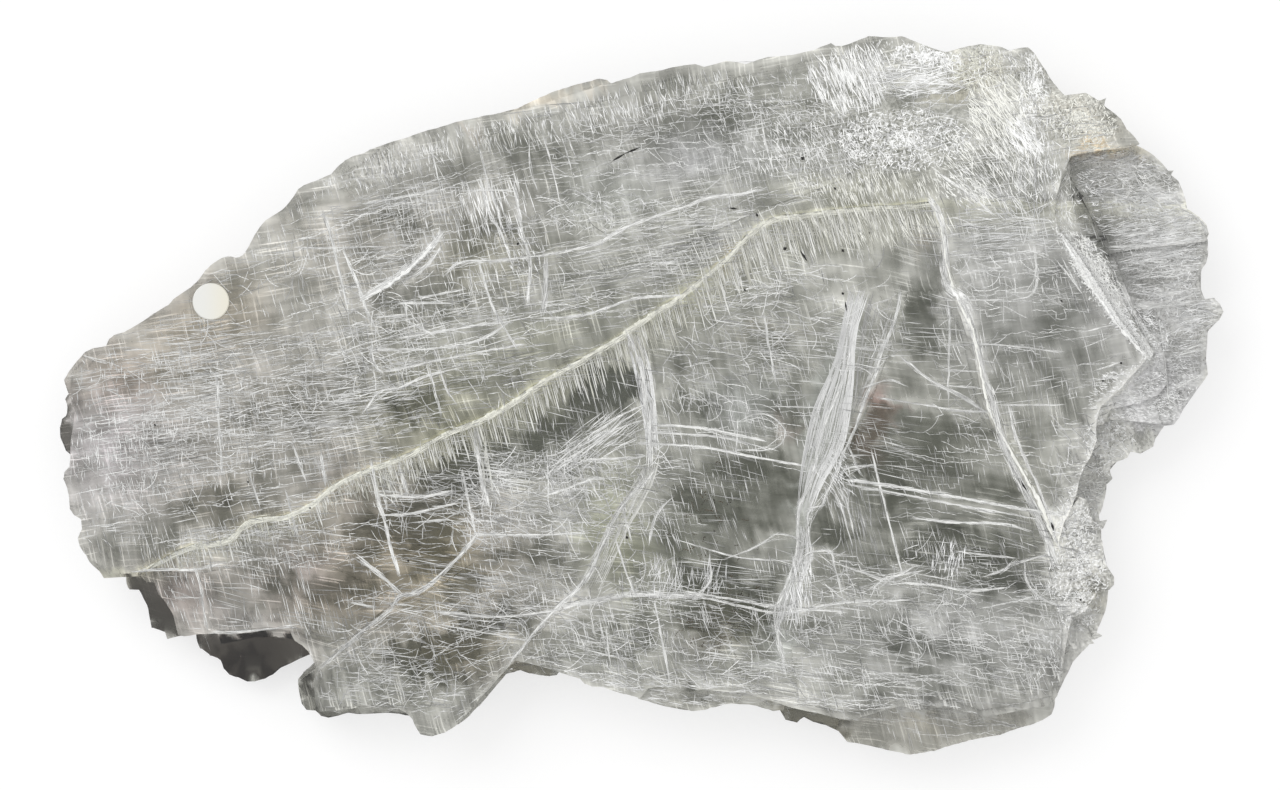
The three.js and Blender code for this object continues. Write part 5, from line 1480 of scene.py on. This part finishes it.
def band(surface, line, width, ragged, rise, shade, cream, material, name, seed):
    """A closed low strip along a line, with its ends drawn to points and its edges uneven."""
    line = smooth_line(line, 2.0)
    tangents = np.gradient(line, axis=0)
    tangents /= np.linalg.norm(tangents, axis=1, keepdims=True)
    across = np.column_stack([-tangents[:, 1], tangents[:, 0]])
    width = np.interp(line[:, 0], *zip(*width))
    run = np.arange(len(line))
    ends = np.clip(np.minimum(run, run[::-1]) / 6, 0.05, 1) ** 0.6
    edges = []
    for side in (0, 1):
        wave = Noise(seed + side)(np.column_stack([run / 1.7, run / 13.0, run * 0]))
        edges.append(width / 2 * ends * (1 + ragged * wave))
    rings = []
    for offset, height in BAND_PROFILE:
        reach = np.where(offset < 0, edges[0], edges[1])[:, None]
        flat, _, _ = surface.lift(line)
        ring = place(line + across * offset * reach)
        rings.append(np.column_stack([ring, flat[:, 2] + height * rise * MM * ends]))
    points = np.stack(rings, 1).reshape(-1, 3)
    sides = len(rings)
    faces = []
    for k in range(len(line) - 1):
        for j in range(sides):
            a, b = k * sides + j, k * sides + (j + 1) % sides
            faces += [(a, b, b + sides), (a, b + sides, a + sides)]
    last = (len(line) - 1) * sides
    for j in range(1, sides - 1):
        faces += [(0, j + 1, j), (last, last + j, last + j + 1)]
    made = new_piece(name, points, faces, material)
    store(made.data, "shade", np.full(len(points), shade))
    store(made.data, "cream", np.full(len(points), cream))


def bands(surface):
    """The pale bands, each a piece of its own."""
    material = band_white()
    for seed, (name, width, ragged, rise, shade, cream, line) in enumerate(BANDS):
        band(surface, line, width, ragged, rise, shade, cream, material, name, 50 + 2 * seed)


def band_white():
    """Cream or white, with fine streaks and blotches."""
    n = Nodes("band white")
    where = n.position()
    colour = n.blend_colour(n.number("cream"), (*WHITE, 1), (*CREAM, 1))
    streaks = n.streaks(where, STEEP, 3, 0.5, 14)
    blotches = n.spots(where, 1.6, 15)
    change = n.math("MULTIPLY_ADD", n.math("ADD", streaks, blotches), 0.55, -0.55)
    shade = n.math("ADD", n.number("shade"), change, clamp=True)
    n.put(n.shader["Base Color"], n.blend_colour(shade, (0.30, 0.31, 0.28, 1), colour))
    n.shader["Roughness"].default_value = 0.5
    bump = n.add("Bump", {"Height": blotches, "Strength": 0.4, "Distance": 0.3 * MM})
    n.put(n.shader["Normal"], bump.outputs[0])
    return n.material


# The power that turns a tone as it is seen into a share of the light
DISPLAY_POWER = 2.2


def needle_white():
    """White or cream, as bright as each needle's own shade."""
    n = Nodes("needle white")
    colour = n.blend_colour(n.number("cream"), (*WHITE, 1), (*CREAM, 1))
    bright = n.math("POWER", n.number("shade"), DISPLAY_POWER)
    n.put(n.shader["Base Color"], n.blend_colour(bright, (0.0, 0.0, 0.0, 1), colour))
    n.shader["Roughness"].default_value = 0.45
    return n.material


def needles(surface):
    """All that lies on the crystal, with the same random numbers on each run."""
    random = np.random.RandomState(11)
    white = needle_white()
    veins = Spindles(surface)
    for width, strength, line in VEINS:
        vein_spindles(veins, line, width, strength, random)
    vein_spindles(veins, np.array(SEAM) + [1, 3], 6, 1.2, random, cream=0.8)
    veins.piece("veins", white)
    fibres = Spindles(surface)
    comb(fibres, random)
    fibres.piece("seam_fibres", white, fat=0.82)
    bands(surface)
    fine = Spindles(surface)
    sheaves(fine, 3600, random)
    fine.piece("fine_needles", white)
    loose = Spindles(surface)
    hairs(loose, random)
    silk(loose, random)
    loose.piece("loose_hairs", white)
    web = Spindles(surface)
    webs(web, random)
    web.piece("hair_webs", white)
    long = Spindles(surface)
    threads(long, random)
    long.piece("long_threads", white)
    sugar = Spindles(surface)
    crusts(sugar, random)
    shelf_fibres(sugar, 6400, random)
    sugar.piece("sugar_crust", white)
    specks = Spindles(surface)
    dirt(specks, random)
    specks.piece("specks", dirt_brown())


def label_paper():
    """Satin white paper with a fine grain, cream and a little darker towards its right rim: painted shade on
    the side away from the lamp.
    """
    n = Nodes("label paper")
    where = n.position()
    grain = n.spots(where, 0.5, 16)
    across = n.add("SeparateXYZ", {"Vector": where}).outputs[0]
    # Painted shade: cream and a little darker towards the right rim.
    shaded_side = n.span(across, DOT_LOW.x + 0.4 * DOT_RADIUS, DOT_HIGH.x)
    n.put(n.shader["Base Color"], n.blend_colour(shaded_side, (0.74, 0.74, 0.71, 1), (0.75, 0.72, 0.62, 1)))
    n.put(n.shader["Roughness"], n.span(grain, 0.3, 0.7, 0.38, 0.55))
    bump = n.add("Bump", {"Height": grain, "Strength": 0.08, "Distance": 0.1 * MM})
    n.put(n.shader["Normal"], bump.outputs[0])
    return n.material


def label():
    """The label keeps its own solid and gets its paper."""
    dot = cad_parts["blank_dot_label"]
    dot.data.materials.clear()
    dot.data.materials.append(label_paper())


# The table: half lit from within, so that light comes up through the crystal as from white paper
FLOOR_SIZE = 6
FLOOR_DROP = 0.2 * MM
FLOOR_GREY = (0.38, 0.38, 0.38, 1)
FLOOR_GLOW = 0.62
# A soft white room and a large lamp at the upper left
ROOM_LIGHT = 0.9
LAMP_POWER = 14
LAMP_SIZE = 1.4
LAMP_PLACE = (-1.0, 1.0, 1.6)
# The camera looks straight down and sees the whole view of the pixels above
VIEW_PX = (1280, 790)
CAMERA_HEIGHT = 1.2
SENSOR_WIDTH = 36


def stage():
    """The white table."""
    bpy.ops.mesh.primitive_plane_add(size=FLOOR_SIZE, location=(0, 0, -FLOOR_DROP))
    floor = bpy.context.object
    floor.name = "floor"
    n = Nodes("floor")
    n.shader["Base Color"].default_value = FLOOR_GREY
    n.shader["Roughness"].default_value = 0.9
    n.shader["Emission Color"].default_value = (1, 1, 1, 1)
    n.shader["Emission Strength"].default_value = FLOOR_GLOW
    floor.data.materials.append(n.material)


def light():
    """The room's even light and one large soft lamp."""
    world = bpy.data.worlds.new("soft studio")
    world.use_nodes = True
    room = world.node_tree.nodes["Background"].inputs
    room["Color"].default_value = (1, 1, 1, 1)
    room["Strength"].default_value = ROOM_LIGHT
    bpy.context.scene.world = world
    lamp = bpy.data.lights.new("window", "AREA")
    lamp.energy = LAMP_POWER
    lamp.size = LAMP_SIZE
    window = bpy.data.objects.new("window", lamp)
    window.location = LAMP_PLACE
    window.rotation_euler = (-window.location).to_track_quat("-Z", "Y").to_euler()
    bpy.context.scene.collection.objects.link(window)


def camera():
    """A view from straight above, at the scale of the pixels."""
    lens = bpy.data.cameras.new("camera")
    lens.sensor_width = SENSOR_WIDTH
    lens.lens = SENSOR_WIDTH * CAMERA_HEIGHT / (VIEW_PX[0] * PX)
    eye = bpy.data.objects.new("camera", lens)
    middle = place([[VIEW_PX[0] / 2, VIEW_PX[1] / 2]])[0]
    eye.location = (middle[0], middle[1], RAISED_TOP + CAMERA_HEIGHT)
    bpy.context.scene.collection.objects.link(eye)
    bpy.context.scene.camera = eye
    bpy.context.scene.view_settings.view_transform = "Standard"


def light_paths():
    """Few bounces: enough for light through the crystal, and quick."""
    cycles = bpy.context.scene.cycles
    cycles.max_bounces = 3
    cycles.transmission_bounces = 3
    cycles.diffuse_bounces = 1
    cycles.glossy_bounces = 1


camera()
stage()
light()
label()
needles(crystal_body())
light_paths()
